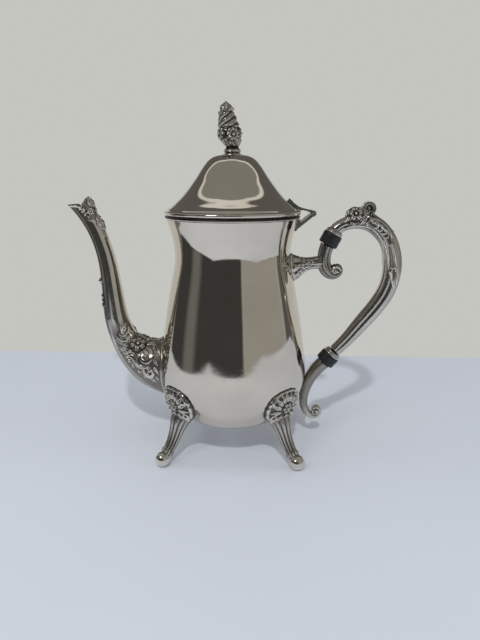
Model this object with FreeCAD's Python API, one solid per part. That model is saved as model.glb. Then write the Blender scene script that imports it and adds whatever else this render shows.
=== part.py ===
"""Footed coffee pot with a hinged bell lid, cast spout, insulated scroll handle and four ball feet.

Frame: millimetres, +Z up, origin on the standing surface under the axis of the body,
+X towards the handle, -X towards the spout. The model is symmetric about the XZ plane.
"""
import FreeCAD, Part
import math
import os
from FreeCAD import Vector as V

os.makedirs("parts", exist_ok=True)

# ---------------------------------------------------------------- driving dimensions
WALL = 1.0                 # spun sheet of body and lid
SOLDER = 0.05              # film between soldered pieces
LIFT = 0.3                 # air between lid bead and mouth wire when shut

BODY_FLAT_R = 26.0         # flat of the bottom
BODY_BOTTOM_Z = 22.5
BODY_MAX_R = 59.3          # belly
BODY_MAX_Z = 62.0
BODY_UPPER = [(58.75, 70.0), (57.4, 80.0), (55.85, 91.0), (54.0, 103.0), (51.85, 115.0),
              (49.65, 126.5), (47.4, 137.5), (45.6, 146.5), (44.75, 152.5), (44.65, 156.5),
              (45.0, 162.0), (46.0, 168.0), (47.5, 174.2), (49.0, 179.2), (50.1, 182.8)]
BASE_HOLE_R = 22.0         # the bottom is let in over this opening
BASE_DISC_R = 25.5
BASE_DISC_T = 1.0

WIRE_R, WIRE_Z, WIRE_T = 49.85, 184.35, 1.25      # mouth wire: ring radius, height, section radius

BEAD_R, BEAD_Z, BEAD_T = 50.4, 187.45, 1.5        # rolled edge of the lid
LID_PROFILE = [(49.0, 189.95), (47.0, 191.35), (43.4, 194.3), (39.5, 197.75), (35.5, 202.0),
               (31.4, 207.0), (27.6, 211.9), (23.8, 217.4), (20.3, 222.0), (17.0, 225.3),
               (13.3, 227.4), (9.7, 228.25), (7.6, 228.4)]
LID_TOP_Z = 228.4
COLLAR_R, COLLAR_Z0, COLLAR_Z1, COLLAR_T = 47.2, 180.5, 189.6, 1.0

STUD_R = 2.0               # finial screw
STUD_Z0, STUD_Z1 = 221.0, 240.0
NUT_FLATS, NUT_T = 7.0, 3.2
WASHER_R, WASHER_T = 6.0, 1.0
FINIAL_TOP_Z = 265.0

PIN_X, PIN_Z = 60.4, 186.9         # lid hinge axis, along Y
PIN_R = 0.9
PIN_CLEAR = 0.05
KNUCKLE_R = 2.2
LID_KNUCKLE = 2.5                  # half length
BODY_KNUCKLE0, BODY_KNUCKLE1 = 2.7, 7.5

SPOUT_T = 1.3
SPOUT_HOLE_R, SPOUT_HOLE_Z = 11.0, 62.0
# centre x, centre z, direction x, direction z, half width in the XZ plane, half width along Y
SPOUT = [(-47.0, 62.0, -1.0, 0.0, 25.5, 22.5), (-55.0, 62.3, -1.0, 0.06, 24.2, 21.6),
         (-67.4, 65.4, -0.93, 0.37, 20.8, 18.2), (-78.0, 72.1, -0.75, 0.66, 16.5, 14.4),
         (-86.0, 80.0, -0.55, 0.835, 12.5, 11.6), (-91.6, 91.0, -0.35, 0.937, 10.5, 9.9),
         (-94.6, 101.5, -0.19, 0.98, 9.7, 8.9), (-96.0, 112.0, -0.1, 0.995, 9.1, 8.2),
         (-97.0, 125.0, -0.07, 0.998, 8.4, 7.6), (-98.2, 140.0, -0.12, 0.993, 7.6, 7.0),
         (-100.3, 154.5, -0.22, 0.975, 7.1, 6.6), (-104.3, 168.5, -0.33, 0.944, 6.8, 6.3),
         (-109.2, 180.0, -0.41, 0.912, 7.05, 6.3), (-115.2, 191.0, -0.48, 0.877, 8.2, 6.6),
         (-121.2, 200.5, -0.52, 0.854, 9.9, 7.0)]
# edge of the pouring mouth seen from the side, everything above it is open
MOUTH = [(-140.0, 191.6), (-127.2, 192.3), (-122.0, 192.9), (-118.5, 192.6), (-115.6, 191.7),
         (-113.8, 193.4), (-112.2, 196.2), (-110.5, 198.4), (-104.0, 203.0), (-104.0, 230.0), (-140.0, 230.0)]

INS_UP = dict(c=(74.85, 167.3), d=(0.46, 0.888), r=7.4, l=9.4)
INS_LOW = dict(c=(77.4, 70.9), d=(0.64, 0.768), r=7.8, l=8.3)
TENON_R, TENON_L, TENON_CLEAR = 3.0, 5.0, 0.05
CROSS_PIN_R = 0.75

# handle grip: centre x, centre z, half width in the XZ plane, half width along Y
GRIP = [(78.4, 174.4, 4.9, 5.0), (81.6, 176.9, 4.8, 5.0), (87.2, 179.5, 5.1, 5.2), (96.3, 181.0, 6.0, 5.6),
        (105.0, 179.2, 6.7, 6.0), (112.4, 174.0, 6.9, 6.2), (117.9, 167.0, 6.9, 6.3), (121.6, 157.5, 6.9, 6.3),
        (123.1, 147.9, 7.0, 6.3), (122.7, 138.0, 7.0, 6.3), (119.7, 127.0, 6.8, 6.2), (114.3, 117.0, 6.6, 6.1),
        (107.4, 107.4, 6.4, 6.0), (99.3, 96.9, 5.9, 5.7), (91.1, 86.4, 5.2, 5.3), (83.2, 77.85, 4.9, 5.0)]
GRIP_SCROLL = (103.5, 190.0, 5.1, 3.6)          # x, z, radius, half width along Y
GRIP_FLOWER = (92.6, 186.0, 5.6)
GRIP_FERRULE_R, GRIP_FERRULE_T = 6.7, 2.2

# upper bracket: scroll under the insulator, arm to the body, pad on the body
UP_SCROLL = [(72.55, 162.4, 4.9, 4.9), (71.2, 158.0, 4.7, 4.8), (70.6, 153.0, 4.5, 4.7), (71.1, 148.0, 4.4, 4.6),
             (73.0, 143.8, 4.2, 4.5), (76.2, 141.2, 3.8, 4.4)]
UP_VOLUTE = (79.6, 143.0, 6.0, 4.3)
UP_ARM = [(42.0, 145.6, 11.1, 8.6), (46.6, 145.9, 10.2, 7.8), (49.6, 146.4, 8.6, 6.8), (52.4, 147.1, 6.7, 5.7),
          (56.0, 147.9, 5.2, 4.8), (61.0, 148.8, 4.4, 4.2), (66.0, 149.4, 4.5, 4.2), (70.4, 149.8, 4.3, 4.2)]
UP_PAD = dict(z=145.7, hz=11.2, hy=9.2, t=1.6)

LOW_SOCKET = [(74.35, 67.25, 5.3, 5.3), (70.9, 63.9, 5.2, 5.2), (66.0, 57.5, 4.9, 4.9), (62.0, 50.2, 4.4, 4.5),
              (59.4, 42.0, 3.8, 4.0), (58.4, 34.2, 3.4, 3.6), (59.4, 27.6, 3.2, 3.5), (62.6, 22.2, 3.0, 3.3)]
LOW_VOLUTE = (68.7, 23.0, 5.5, 3.3)

# foot, drawn in the plane of one leg: radius from the axis, height
FOOT_ANGLES = (-45.0, 45.0, 135.0, -135.0)
FOOT_NAMES = ("foot_front_right", "foot_rear_right", "foot_rear_left", "foot_front_left")
BALL_R, BALL_C = 5.9, (72.4, 5.5)
KNEE_C = (56.8, 47.0)      # middle of the knee shield on the body
KNEE_TILT = -19.0          # direction it faces, degrees from level
KNEE_OUT = [(0.0, 13.8), (6.0, 13.3), (11.4, 11.0), (15.2, 7.0), (17.2, 2.0), (17.2, -3.2), (15.2, -8.2),
            (11.2, -12.4), (5.8, -15.2), (0.0, -16.0)]           # half outline: sideways, up the surface
KNEE_FACE = [(59.9, 63.5), (60.9, 59.5), (61.5, 54.5), (61.5, 49.5), (60.9, 44.5), (59.8, 40.0), (58.2, 36.2), (55.4, 33.4),
             (51.0, 31.6)]                        # its outer face, standing off the body towards the leg
LEG = [(51.4, 37.0, 8.4, 9.2), (54.8, 32.8, 7.2, 8.0), (57.2, 27.8, 5.9, 6.5), (59.8, 22.0, 4.9, 5.2),
       (63.0, 16.2, 4.2, 4.4), (67.0, 10.8, 3.8, 4.0), (71.0, 6.9, 3.6, 3.7)]


# ---------------------------------------------------------------- helpers
def curve(points):
    c = Part.BSplineCurve()
    c.interpolate([V(p[0], 0, p[1]) for p in points])
    return c


def samples(c, n):
    a, b = c.FirstParameter, c.LastParameter
    out = []
    for i in range(n):
        u = a + (b - a) * i / (n - 1)
        p, t = c.value(u), c.tangent(u)[0]
        out.append(((p.x, p.z), (t.x, t.z)))
    return out


def offset(c, d, n=30):
    """The curve moved by d to the left of its direction."""
    pts = []
    for (x, z), (tx, tz) in samples(c, n):
        k = math.hypot(tx, tz)
        pts.append((x - tz / k * d, z + tx / k * d))
    return pts


def line(a, b):
    return Part.makeLine(V(a[0], 0, a[1]), V(b[0], 0, b[1]))


def turned(edges):
    face = Part.Face(Part.Wire(Part.__sortEdges__(edges)))
    s = face.revolve(V(0, 0, 0), V(0, 0, 1), 360)
    s = s if s.ShapeType == "Solid" else Part.makeSolid(s.Shells[0])
    if s.Volume < 0:
        s.reverse()
    return s


def ellipse(c, d, a, b):
    """Closed section at c (XZ plane), square to d; half widths a in the plane and b along Y."""
    k = math.hypot(*d)
    n = V(-d[1] / k, 0, d[0] / k)
    pts = []
    for i in range(16):
        w = 2 * math.pi * i / 16
        pts.append(V(c[0], 0, c[1]) + n * (a * math.cos(w)) + V(0, b * math.sin(w), 0))
    s = Part.BSplineCurve()
    s.interpolate(pts, PeriodicFlag=True)
    return Part.Wire([s.toShape()])


def path_dirs(rows, first=None, last=None):
    dirs = []
    for i in range(len(rows)):
        p, q = rows[max(i - 1, 0)], rows[min(i + 1, len(rows) - 1)]
        dirs.append((q[0] - p[0], q[1] - p[1]))
    if first:
        dirs[0] = first
    if last:
        dirs[-1] = last
    return dirs


def limb(rows, first=None, last=None):
    """Solid through elliptical sections along a curved path in the XZ plane."""
    dirs = path_dirs(rows, first, last)
    return Part.makeLoft([ellipse((r[0], r[1]), d, r[2], r[3]) for r, d in zip(rows, dirs)], True, False)


def rod(c, d, l, r, start=0.0):
    """Cylinder in the XZ plane from c + start * d, l long."""
    k = math.hypot(*d)
    n = V(d[0] / k, 0, d[1] / k)
    return Part.makeCylinder(r, l, V(c[0], 0, c[1]) + n * start, n)


def disc_y(x, z, r, half):
    return Part.makeCylinder(r, 2 * half, V(x, -half, z), V(0, 1, 0))


def prism_y(points, y0, y1):
    pts = [V(p[0], y0, p[1]) for p in points]
    return Part.Face(Part.makePolygon(pts + [pts[0]])).extrude(V(0, y1 - y0, 0))


def joined(*shapes):
    s = shapes[0]
    for o in shapes[1:]:
        s = s.fuse(o)
    s = s.removeSplitter()
    return s


def one(shape):
    """The largest solid of a shape."""
    return sorted(shape.Solids, key=lambda s: -s.Volume)[0]


PARTS = {}


def keep(name, shape):
    PARTS[name] = shape


# ---------------------------------------------------------------- body
bowl = []
for a in (90, 76, 62, 48, 34, 22, 11, 0):
    t = math.radians(a)
    bowl.append((BODY_FLAT_R + (BODY_MAX_R - BODY_FLAT_R) * math.cos(t),
                 BODY_MAX_Z - (BODY_MAX_Z - BODY_BOTTOM_Z) * math.sin(t)))
body_curve = curve(bowl + BODY_UPPER)          # runs upwards, so its left side is the inside
outer_pts = [p for p, _ in samples(body_curve, 60)]
inner_pts = offset(body_curve, WALL, 40)
inner_curve = curve(inner_pts)
top_out, top_in = (BODY_UPPER[-1][0], BODY_UPPER[-1][1]), inner_pts[-1]
low_in = inner_pts[0]
body = turned([body_curve.toShape(), line(top_out, top_in), inner_curve.toShape(),
               line(low_in, (BASE_HOLE_R, low_in[1])), line((BASE_HOLE_R, low_in[1]), (BASE_HOLE_R, BODY_BOTTOM_Z)),
               line((BASE_HOLE_R, BODY_BOTTOM_Z), (BODY_FLAT_R, BODY_BOTTOM_Z))])
spout_hole = Part.makeCylinder(SPOUT_HOLE_R, 30, V(-75, 0, SPOUT_HOLE_Z), V(1, 0, 0))
body = one(body.cut(spout_hole))
keep("body_shell", body)
keep("base_disc", Part.makeCylinder(BASE_DISC_R, BASE_DISC_T, V(0, 0, low_in[1] + SOLDER)))
keep("mouth_wire", Part.makeTorus(WIRE_R, WIRE_T, V(0, 0, WIRE_Z)))


def body_grown(d):
    """Filled body, its outside moved out by d."""
    pts = offset(body_curve, -d, 40)
    c = curve(pts)
    return turned([c.toShape(), line(pts[-1], (0.0, pts[-1][1])), line((0.0, pts[-1][1]), (0.0, pts[0][1])),
                   line((0.0, pts[0][1]), pts[0])])


body_block = body_grown(SOLDER)

# ---------------------------------------------------------------- lid


def on_bead(deg):
    w = math.radians(deg)
    return (BEAD_R + BEAD_T * math.cos(w), BEAD_Z + BEAD_T * math.sin(w))


lid_start, lid_stop = on_bead(72), on_bead(152)
lid_curve = curve([lid_start] + LID_PROFILE)
lid_under = offset(lid_curve, WALL, 34)
lid_under = [p for p in lid_under if p[0] < BEAD_R - BEAD_T - 0.6]
lid_under[-1] = (LID_PROFILE[-1][0], LID_TOP_Z - WALL)
under_curve = curve([lid_stop] + lid_under)
bead = Part.Arc(V(lid_start[0], 0, lid_start[1]), V(BEAD_R, 0, BEAD_Z - BEAD_T), V(lid_stop[0], 0, lid_stop[1])).toShape()
hole_r = STUD_R + 0.15
lid = turned([lid_curve.toShape(), bead, under_curve.toShape(),
              line(LID_PROFILE[-1], (hole_r, LID_TOP_Z)), line((hole_r, LID_TOP_Z), (hole_r, LID_TOP_Z - WALL)),
              line((hole_r, LID_TOP_Z - WALL), lid_under[-1])])
keep("lid_shell", lid)
keep("lid_collar", Part.makeCylinder(COLLAR_R, COLLAR_Z1 - COLLAR_Z0, V(0, 0, COLLAR_Z0)).cut(
    Part.makeCylinder(COLLAR_R - COLLAR_T, 40, V(0, 0, COLLAR_Z0 - 10))))


def lid_grown(d):
    """Filled lid, its outside moved out by d."""
    pts = [p for p in offset(lid_curve, -d, 34)]
    c = curve(pts)
    top = (0.0, pts[-1][1])
    low = (BEAD_R + BEAD_T + d, BEAD_Z - BEAD_T - d)
    mid = (BEAD_R + BEAD_T + d, BEAD_Z)
    return turned([c.toShape(), line(pts[-1], top), line(top, (0.0, low[1])), line((0.0, low[1]), low),
                   line(low, mid), line(mid, pts[0])])


lid_block = lid_grown(SOLDER)

# ---------------------------------------------------------------- finial and its fixing
z0 = LID_TOP_Z + SOLDER
neck = curve([(7.1, z0), (5.9, z0 + 0.7), (5.3, z0 + 1.3), (6.3, z0 + 2.3), (5.6, z0 + 3.7), (4.6, z0 + 4.9), (4.55, z0 + 6.2)])
neck_top = (4.55, z0 + 6.2)
foot_of_finial = turned([neck.toShape(), line(neck_top, (0, neck_top[1])), line((0, neck_top[1]), (0, z0)), line((0, z0), (7.1, z0))])
bud_rows = [(0.0, z0 + 5.4, 4.6), (-0.5, z0 + 8.2, 6.5), (-1.4, z0 + 11.4, 8.7), (-2.0, z0 + 15.0, 9.2), (-2.6, z0 + 19.0, 8.5),
            (-3.3, z0 + 23.5, 7.2), (-4.0, z0 + 28.5, 5.8), (-4.4, z0 + 32.5, 4.4), (-4.5, z0 + 35.2, 2.6), (-4.4, FINIAL_TOP_Z, 1.0)]
bud = Part.makeLoft([Part.Wire([Part.makeCircle(r, V(x, 0, z), V(0, 0, 1))]) for x, z, r in bud_rows], True, False)
finial = joined(foot_of_finial, bud)
finial = one(finial.cut(Part.makeCylinder(STUD_R + 0.03, STUD_Z1 - z0 + 1.3, V(0, 0, z0 - 1.0))))
keep("finial", finial)
keep("finial_stud", Part.makeCylinder(STUD_R, STUD_Z1 - STUD_Z0, V(0, 0, STUD_Z0)))
washer_top = LID_TOP_Z - WALL - SOLDER
keep("finial_washer", Part.makeCylinder(WASHER_R, WASHER_T, V(0, 0, washer_top - WASHER_T)).cut(
    Part.makeCylinder(STUD_R + 0.15, 10, V(0, 0, washer_top - 5))))
hexagon = [V(NUT_FLATS / math.sqrt(3) * math.cos(math.radians(60 * i)), NUT_FLATS / math.sqrt(3) * math.sin(math.radians(60 * i)),
             washer_top - WASHER_T - SOLDER - NUT_T) for i in range(6)]
nut = Part.Face(Part.makePolygon(hexagon + [hexagon[0]])).extrude(V(0, 0, NUT_T))
keep("finial_nut", nut.cut(Part.makeCylinder(STUD_R + 0.03, 20, V(0, 0, washer_top - 12))))

# ---------------------------------------------------------------- lid hinge
bore = Part.makeCylinder(PIN_R + PIN_CLEAR, 40, V(PIN_X, -20, PIN_Z), V(0, 1, 0))
strap = prism_y([(42.6, 197.9), (46.4, 194.3), (50.0, 191.7), (53.2, 190.5), (53.2, 189.2), (50.4, 189.0), (47.0, 189.0), (41.0, 195.5)], -4.6, 4.6)
arm = prism_y([(52.4, 190.8), (56.5, 189.8), (60.4, 189.0), (60.4, 187.0), (58.7, 187.5), (55.0, 188.7), (52.4, 189.3)], -LID_KNUCKLE, LID_KNUCKLE)
lid_leaf = joined(strap, arm, disc_y(PIN_X, PIN_Z, KNUCKLE_R, LID_KNUCKLE))
rim_room = Part.makeTorus(50.4, 1.56, V(0, 0, 187.45))
lid_leaf = one(lid_leaf.cut(lid_block).cut(rim_room).cut(bore))
keep("hinge_lid_leaf", lid_leaf)

leaf_shell = body_grown(1.3).cut(body_block)
leaf_pad = leaf_shell.common(Part.makeBox(40, 14.0, 8.6, V(30, -7.0, 174.0)))
leaf_pad = one(leaf_pad)
struts = []
for s in (-1, 1):
    y0, y1 = sorted((s * BODY_KNUCKLE0, s * BODY_KNUCKLE1))
    struts.append(prism_y([(46.9, 174.6), (48.3, 174.9), (60.9, 185.2), (59.6, 187.2), (50.2, 179.6), (47.0, 178.0)], y0, y1))
    struts.append(Part.makeCylinder(KNUCKLE_R, y1 - y0, V(PIN_X, y0, PIN_Z), V(0, 1, 0)))
body_leaf = joined(leaf_pad, *struts)
body_leaf = one(body_leaf.cut(body_block).cut(bore))
keep("hinge_body_leaf", body_leaf)
pin_end = BODY_KNUCKLE1 + SOLDER
pin = joined(Part.makeCylinder(PIN_R, 2 * pin_end, V(PIN_X, -pin_end, PIN_Z), V(0, 1, 0)),
             Part.makeCylinder(1.45, 0.7, V(PIN_X, pin_end, PIN_Z), V(0, 1, 0)),
             Part.makeCylinder(1.45, 0.7, V(PIN_X, -pin_end - 0.7, PIN_Z), V(0, 1, 0)))
keep("hinge_pin", pin)

# ---------------------------------------------------------------- spout, two soldered castings


def tube(shrink):
    return Part.makeLoft([ellipse((r[0], r[1]), (r[2], r[3]), r[4] - shrink, r[5] - shrink) for r in SPOUT], True, False)


mouth_cut = prism_y(MOUTH, -40, 40)
spout = tube(0.0).cut(tube(SPOUT_T)).cut(body_block).cut(mouth_cut)
spout = one(spout)
gap = SOLDER / 2
near_side = Part.makeBox(200, 100, 300, V(-200, -100 - gap, -10))
far_side = Part.makeBox(200, 100, 300, V(-200, gap, -10))
keep("spout_near_half", one(spout.common(near_side)))
keep("spout_far_half", one(spout.common(far_side)))

# ---------------------------------------------------------------- handle


def insulator(k):
    c, d, l = k["c"], k["d"], k["l"]
    s = rod(c, d, l, k["r"], -l / 2)
    return joined(s, rod(c, d, l + 2 * TENON_L, TENON_R, -l / 2 - TENON_L))


def socket_bore(k, up):
    d = k["d"] if up else (-k["d"][0], -k["d"][1])
    return rod(k["c"], d, TENON_L + 0.4, TENON_R + TENON_CLEAR, k["l"] / 2 - 0.2)


def pin_spot(k, up):
    s = (k["l"] / 2 + TENON_L * 0.55) * (1 if up else -1)
    n = math.hypot(*k["d"])
    return k["c"][0] + k["d"][0] / n * s, k["c"][1] + k["d"][1] / n * s


def cross_pin(k, up, half, r):
    x, z = pin_spot(k, up)
    return disc_y(x, z, r, half)


def face_stop(k, up, size=60):
    """Block covering the insulator's side of its end face, so neighbours stop a film short of it."""
    d = k["d"] if up else (-k["d"][0], -k["d"][1])
    return rod(k["c"], d, size, size / 2, k["l"] / 2 + SOLDER - size)


up_ins, low_ins = insulator(INS_UP), insulator(INS_LOW)
pins = []
for k, up, half in ((INS_UP, True, 5.2), (INS_UP, False, 5.0), (INS_LOW, True, 5.1), (INS_LOW, False, 5.4)):
    hole = cross_pin(k, up, 12, CROSS_PIN_R + 0.03)
    if k is INS_UP:
        up_ins = up_ins.cut(hole)
    else:
        low_ins = low_ins.cut(hole)
    pins.append(cross_pin(k, up, half, CROSS_PIN_R))
keep("upper_insulator", one(up_ins))
keep("lower_insulator", one(low_ins))
keep("insulator_pins", Part.makeCompound(pins))


def lower_dir(k):
    return (-k["d"][0], -k["d"][1])


grip = limb(GRIP, first=INS_UP["d"], last=lower_dir(INS_LOW))
grip = joined(grip,
              rod(INS_UP["c"], INS_UP["d"], GRIP_FERRULE_T + 2.0, GRIP_FERRULE_R - 0.8, INS_UP["l"] / 2 + SOLDER),
              rod(INS_UP["c"], INS_UP["d"], GRIP_FERRULE_T, GRIP_FERRULE_R, INS_UP["l"] / 2 + SOLDER),
              rod(INS_LOW["c"], INS_LOW["d"], GRIP_FERRULE_T + 3.0, GRIP_FERRULE_R - 0.9, INS_LOW["l"] / 2 + SOLDER),
              rod(INS_LOW["c"], INS_LOW["d"], GRIP_FERRULE_T + 0.4, GRIP_FERRULE_R + 0.4, INS_LOW["l"] / 2 + SOLDER),
              disc_y(*GRIP_SCROLL[:3], GRIP_SCROLL[3]),
              Part.makeSphere(GRIP_FLOWER[2], V(GRIP_FLOWER[0], 0, GRIP_FLOWER[1])))
grip = grip.cut(socket_bore(INS_UP, True)).cut(socket_bore(INS_LOW, True))
for k in (INS_UP, INS_LOW):
    grip = grip.cut(cross_pin(k, True, 12, CROSS_PIN_R + 0.03))
keep("handle_grip", one(grip))

pad = body_grown(UP_PAD["t"]).cut(body_block)
oval = []
for i in range(24):
    w = 2 * math.pi * i / 24
    oval.append(V(30, UP_PAD["hy"] * math.cos(w), UP_PAD["z"] + UP_PAD["hz"] * math.sin(w)))
oval_curve = Part.BSplineCurve()
oval_curve.interpolate(oval, PeriodicFlag=True)
pad = one(pad.common(Part.Face(Part.Wire([oval_curve.toShape()])).extrude(V(40, 0, 0))))
arm_dirs = [(1, 0)] * len(UP_ARM)
bracket_arm = Part.makeLoft([ellipse((r[0], r[1]), d, r[2], r[3]) for r, d in zip(UP_ARM, arm_dirs)], True, False)
bracket = joined(limb(UP_SCROLL, first=lower_dir(INS_UP)), disc_y(*UP_VOLUTE[:3], UP_VOLUTE[3]), bracket_arm)
bracket = joined(one(bracket.cut(body_block)), pad)
bracket = bracket.cut(face_stop(INS_UP, False)).cut(socket_bore(INS_UP, False)).cut(cross_pin(INS_UP, False, 12, CROSS_PIN_R + 0.03))
keep("handle_upper_bracket", one(bracket))

socket = joined(limb(LOW_SOCKET, first=lower_dir(INS_LOW)), disc_y(*LOW_VOLUTE[:3], LOW_VOLUTE[3]))
socket = socket.cut(body_block).cut(face_stop(INS_LOW, False)).cut(socket_bore(INS_LOW, False)).cut(
    cross_pin(INS_LOW, False, 12, CROSS_PIN_R + 0.03))
keep("handle_lower_socket", one(socket))

# ---------------------------------------------------------------- feet
w = math.radians(KNEE_TILT)
face_dir = V(math.cos(w), 0, math.sin(w))
up_dir = V(-math.sin(w), 0, math.cos(w))
centre = V(KNEE_C[0], 0, KNEE_C[1])
half = [centre - face_dir * 22 + V(0, y, 0) + up_dir * u for y, u in KNEE_OUT]
other = [centre - face_dir * 22 + V(0, -y, 0) + up_dir * u for y, u in reversed(KNEE_OUT[1:-1])]
knee_curve = Part.BSplineCurve()
knee_curve.interpolate(half + other, PeriodicFlag=True)
knee_block = Part.Face(Part.Wire([knee_curve.toShape()])).extrude(face_dir * 44)
knee_shell = turned([curve(KNEE_FACE).toShape(), line(KNEE_FACE[-1], (0.0, KNEE_FACE[-1][1])),
                     line((0.0, KNEE_FACE[-1][1]), (0.0, KNEE_FACE[0][1])), line((0.0, KNEE_FACE[0][1]), KNEE_FACE[0])])
knee = one(knee_shell.cut(body_block).common(knee_block))
leg = limb(LEG, last=(0.75, -0.66))
ball = Part.makeSphere(BALL_R, V(BALL_C[0], 0, BALL_C[1]))
foot = joined(one(joined(leg, ball).cut(body_block)), knee)
foot = one(foot.cut(Part.makeBox(200, 100, 20, V(0, -50, -20))))
for name, angle in zip(FOOT_NAMES, FOOT_ANGLES):
    f = foot.copy()
    f.rotate(V(0, 0, 0), V(0, 0, 1), angle)
    keep(name, f)

# ---------------------------------------------------------------- write
for name, shape in PARTS.items():
    ok = shape.isValid() and all(s.isClosed() for s in shape.Solids)
    print(f"{name:24s} solids {len(shape.Solids)} volume {shape.Volume:10.1f} valid {ok} box {[round(x, 1) for x in (shape.BoundBox.XMin, shape.BoundBox.XMax, shape.BoundBox.YMin, shape.BoundBox.YMax, shape.BoundBox.ZMin, shape.BoundBox.ZMax)]}")
    shape.exportStep(f"parts/{name}.step")
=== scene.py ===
import math
import bpy
import bmesh
import numpy as np
from mathutils import Matrix, Vector

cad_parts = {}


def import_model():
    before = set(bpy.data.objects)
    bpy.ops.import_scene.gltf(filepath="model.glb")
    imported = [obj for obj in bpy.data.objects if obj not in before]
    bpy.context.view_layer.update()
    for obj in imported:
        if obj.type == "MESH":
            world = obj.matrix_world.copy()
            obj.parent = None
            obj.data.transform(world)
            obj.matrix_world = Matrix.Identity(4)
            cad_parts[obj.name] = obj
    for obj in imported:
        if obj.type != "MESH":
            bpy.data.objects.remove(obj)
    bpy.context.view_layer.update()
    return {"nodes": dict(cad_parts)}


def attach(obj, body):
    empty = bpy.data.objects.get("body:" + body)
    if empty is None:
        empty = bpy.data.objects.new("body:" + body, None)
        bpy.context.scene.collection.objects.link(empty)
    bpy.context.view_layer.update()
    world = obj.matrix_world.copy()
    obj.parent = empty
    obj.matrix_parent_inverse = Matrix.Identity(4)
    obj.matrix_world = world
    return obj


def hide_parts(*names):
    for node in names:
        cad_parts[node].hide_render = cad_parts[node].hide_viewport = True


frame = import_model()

nodes = frame["nodes"]
MM = 0.001
PI = math.pi


# ============================================================ small maths
def spline(rows, n, at=None):
    """Points on a natural cubic spline through rows, by chord length of the first two columns."""
    p = np.array(rows, float)
    m = len(p)
    t = np.concatenate([[0.0], np.cumsum(np.linalg.norm(np.diff(p[:, :2], axis=0), axis=1))])
    h = np.diff(t)
    A, B = np.eye(m), np.zeros_like(p)
    for i in range(1, m - 1):
        A[i, i - 1:i + 2] = h[i - 1], 2 * (h[i - 1] + h[i]), h[i]
        B[i] = 6 * ((p[i + 1] - p[i]) / h[i] - (p[i] - p[i - 1]) / h[i - 1])
    M = np.linalg.solve(A, B)
    x = np.linspace(0, t[-1], n) if at is None else np.asarray(at) * t[-1]
    k = np.clip(np.searchsorted(t, x, side="right") - 1, 0, m - 2)
    a, b, H = ((t[k + 1] - x) / h[k])[:, None], ((x - t[k]) / h[k])[:, None], h[k][:, None]
    return a * p[k] + b * p[k + 1] + ((a ** 3 - a) * M[k] + (b ** 3 - b) * M[k + 1]) * H ** 2 / 6


def unit(v):
    return v / np.maximum(np.linalg.norm(v, axis=-1, keepdims=True), 1e-9)


def step(x, a, b):
    t = np.clip((np.asarray(x, float) - a) / (b - a), 0, 1)
    return t * t * (3 - 2 * t)


def normals(P, wrap_u=False, wrap_v=False):
    def diff(A, axis, wrap):
        if wrap:
            return np.roll(A, -1, axis) - np.roll(A, 1, axis)
        return np.gradient(A, axis=axis)
    return unit(np.cross(diff(P, 0, wrap_u), diff(P, 1, wrap_v)))


def quads(nu, nv, wrap_u=False, wrap_v=False, base=0):
    u = np.arange(nu if wrap_u else nu - 1)
    v = np.arange(nv if wrap_v else nv - 1)
    U, W = np.meshgrid(u, v, indexing="ij")
    U2, W2 = (U + 1) % nu, (W + 1) % nv
    return np.stack([U * nv + W, U2 * nv + W, U2 * nv + W2, U * nv + W2], -1).reshape(-1, 4) + base


class Build:
    """Collects grids of points into one mesh, with the relief value of each point."""

    def __init__(self):
        self.v, self.f, self.r, self.s, self.n = [], [], [], [], 0

    def grid(self, P, wrap_u=False, wrap_v=False, relief=None, cap0=False, cap1=False, satin=0.8):
        nu, nv = P.shape[:2]
        base = self.n
        self.v.append(P.reshape(-1, 3))
        self.r.append(np.ones(nu * nv) if relief is None else np.clip(relief, 0, 1).reshape(-1))
        self.s.append(np.broadcast_to(np.clip(satin, 0, 1), (nu, nv)).reshape(-1).astype(float))
        self.f += [tuple(q) for q in quads(nu, nv, wrap_u, wrap_v, base).tolist()]
        self.n += nu * nv
        for on, row in ((cap0, 0), (cap1, nu - 1)):
            if on:
                self.v.append(P[row].mean(0)[None])
                self.r.append(np.full(1, 0.6))
                self.s.append(np.full(1, 0.6))
                ring = [base + row * nv + i for i in range(nv)]
                self.f += [(ring[i], ring[(i + 1) % nv], self.n) for i in range(nv)]
                self.n += 1
        return base

    def face(self, *ids):
        self.f.append(tuple(ids))

    def done(self, name, body, mat, nodes_=(), move=None, flip=None):
        V = np.concatenate(self.v)
        if move is not None:
            V = V @ move.T
        me = bpy.data.meshes.new(name)
        me.from_pydata((V * MM).tolist(), [], self.f)
        bm = bmesh.new()
        bm.from_mesh(me)
        bmesh.ops.recalc_face_normals(bm, faces=bm.faces)
        bm.to_mesh(me)
        bm.free()
        me.polygons.foreach_set("use_smooth", [True] * len(me.polygons))
        a = me.attributes.new("relief", "FLOAT", "POINT")
        a.data.foreach_set("value", np.concatenate(self.r).astype(np.float32))
        a = me.attributes.new("satin", "FLOAT", "POINT")
        a.data.foreach_set("value", np.concatenate(self.s).astype(np.float32))
        me.materials.append(mat)
        o = bpy.data.objects.new(name, me)
        bpy.context.scene.collection.objects.link(o)
        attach(o, body)
        if nodes_:
            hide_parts(*nodes_)
        return o


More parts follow.
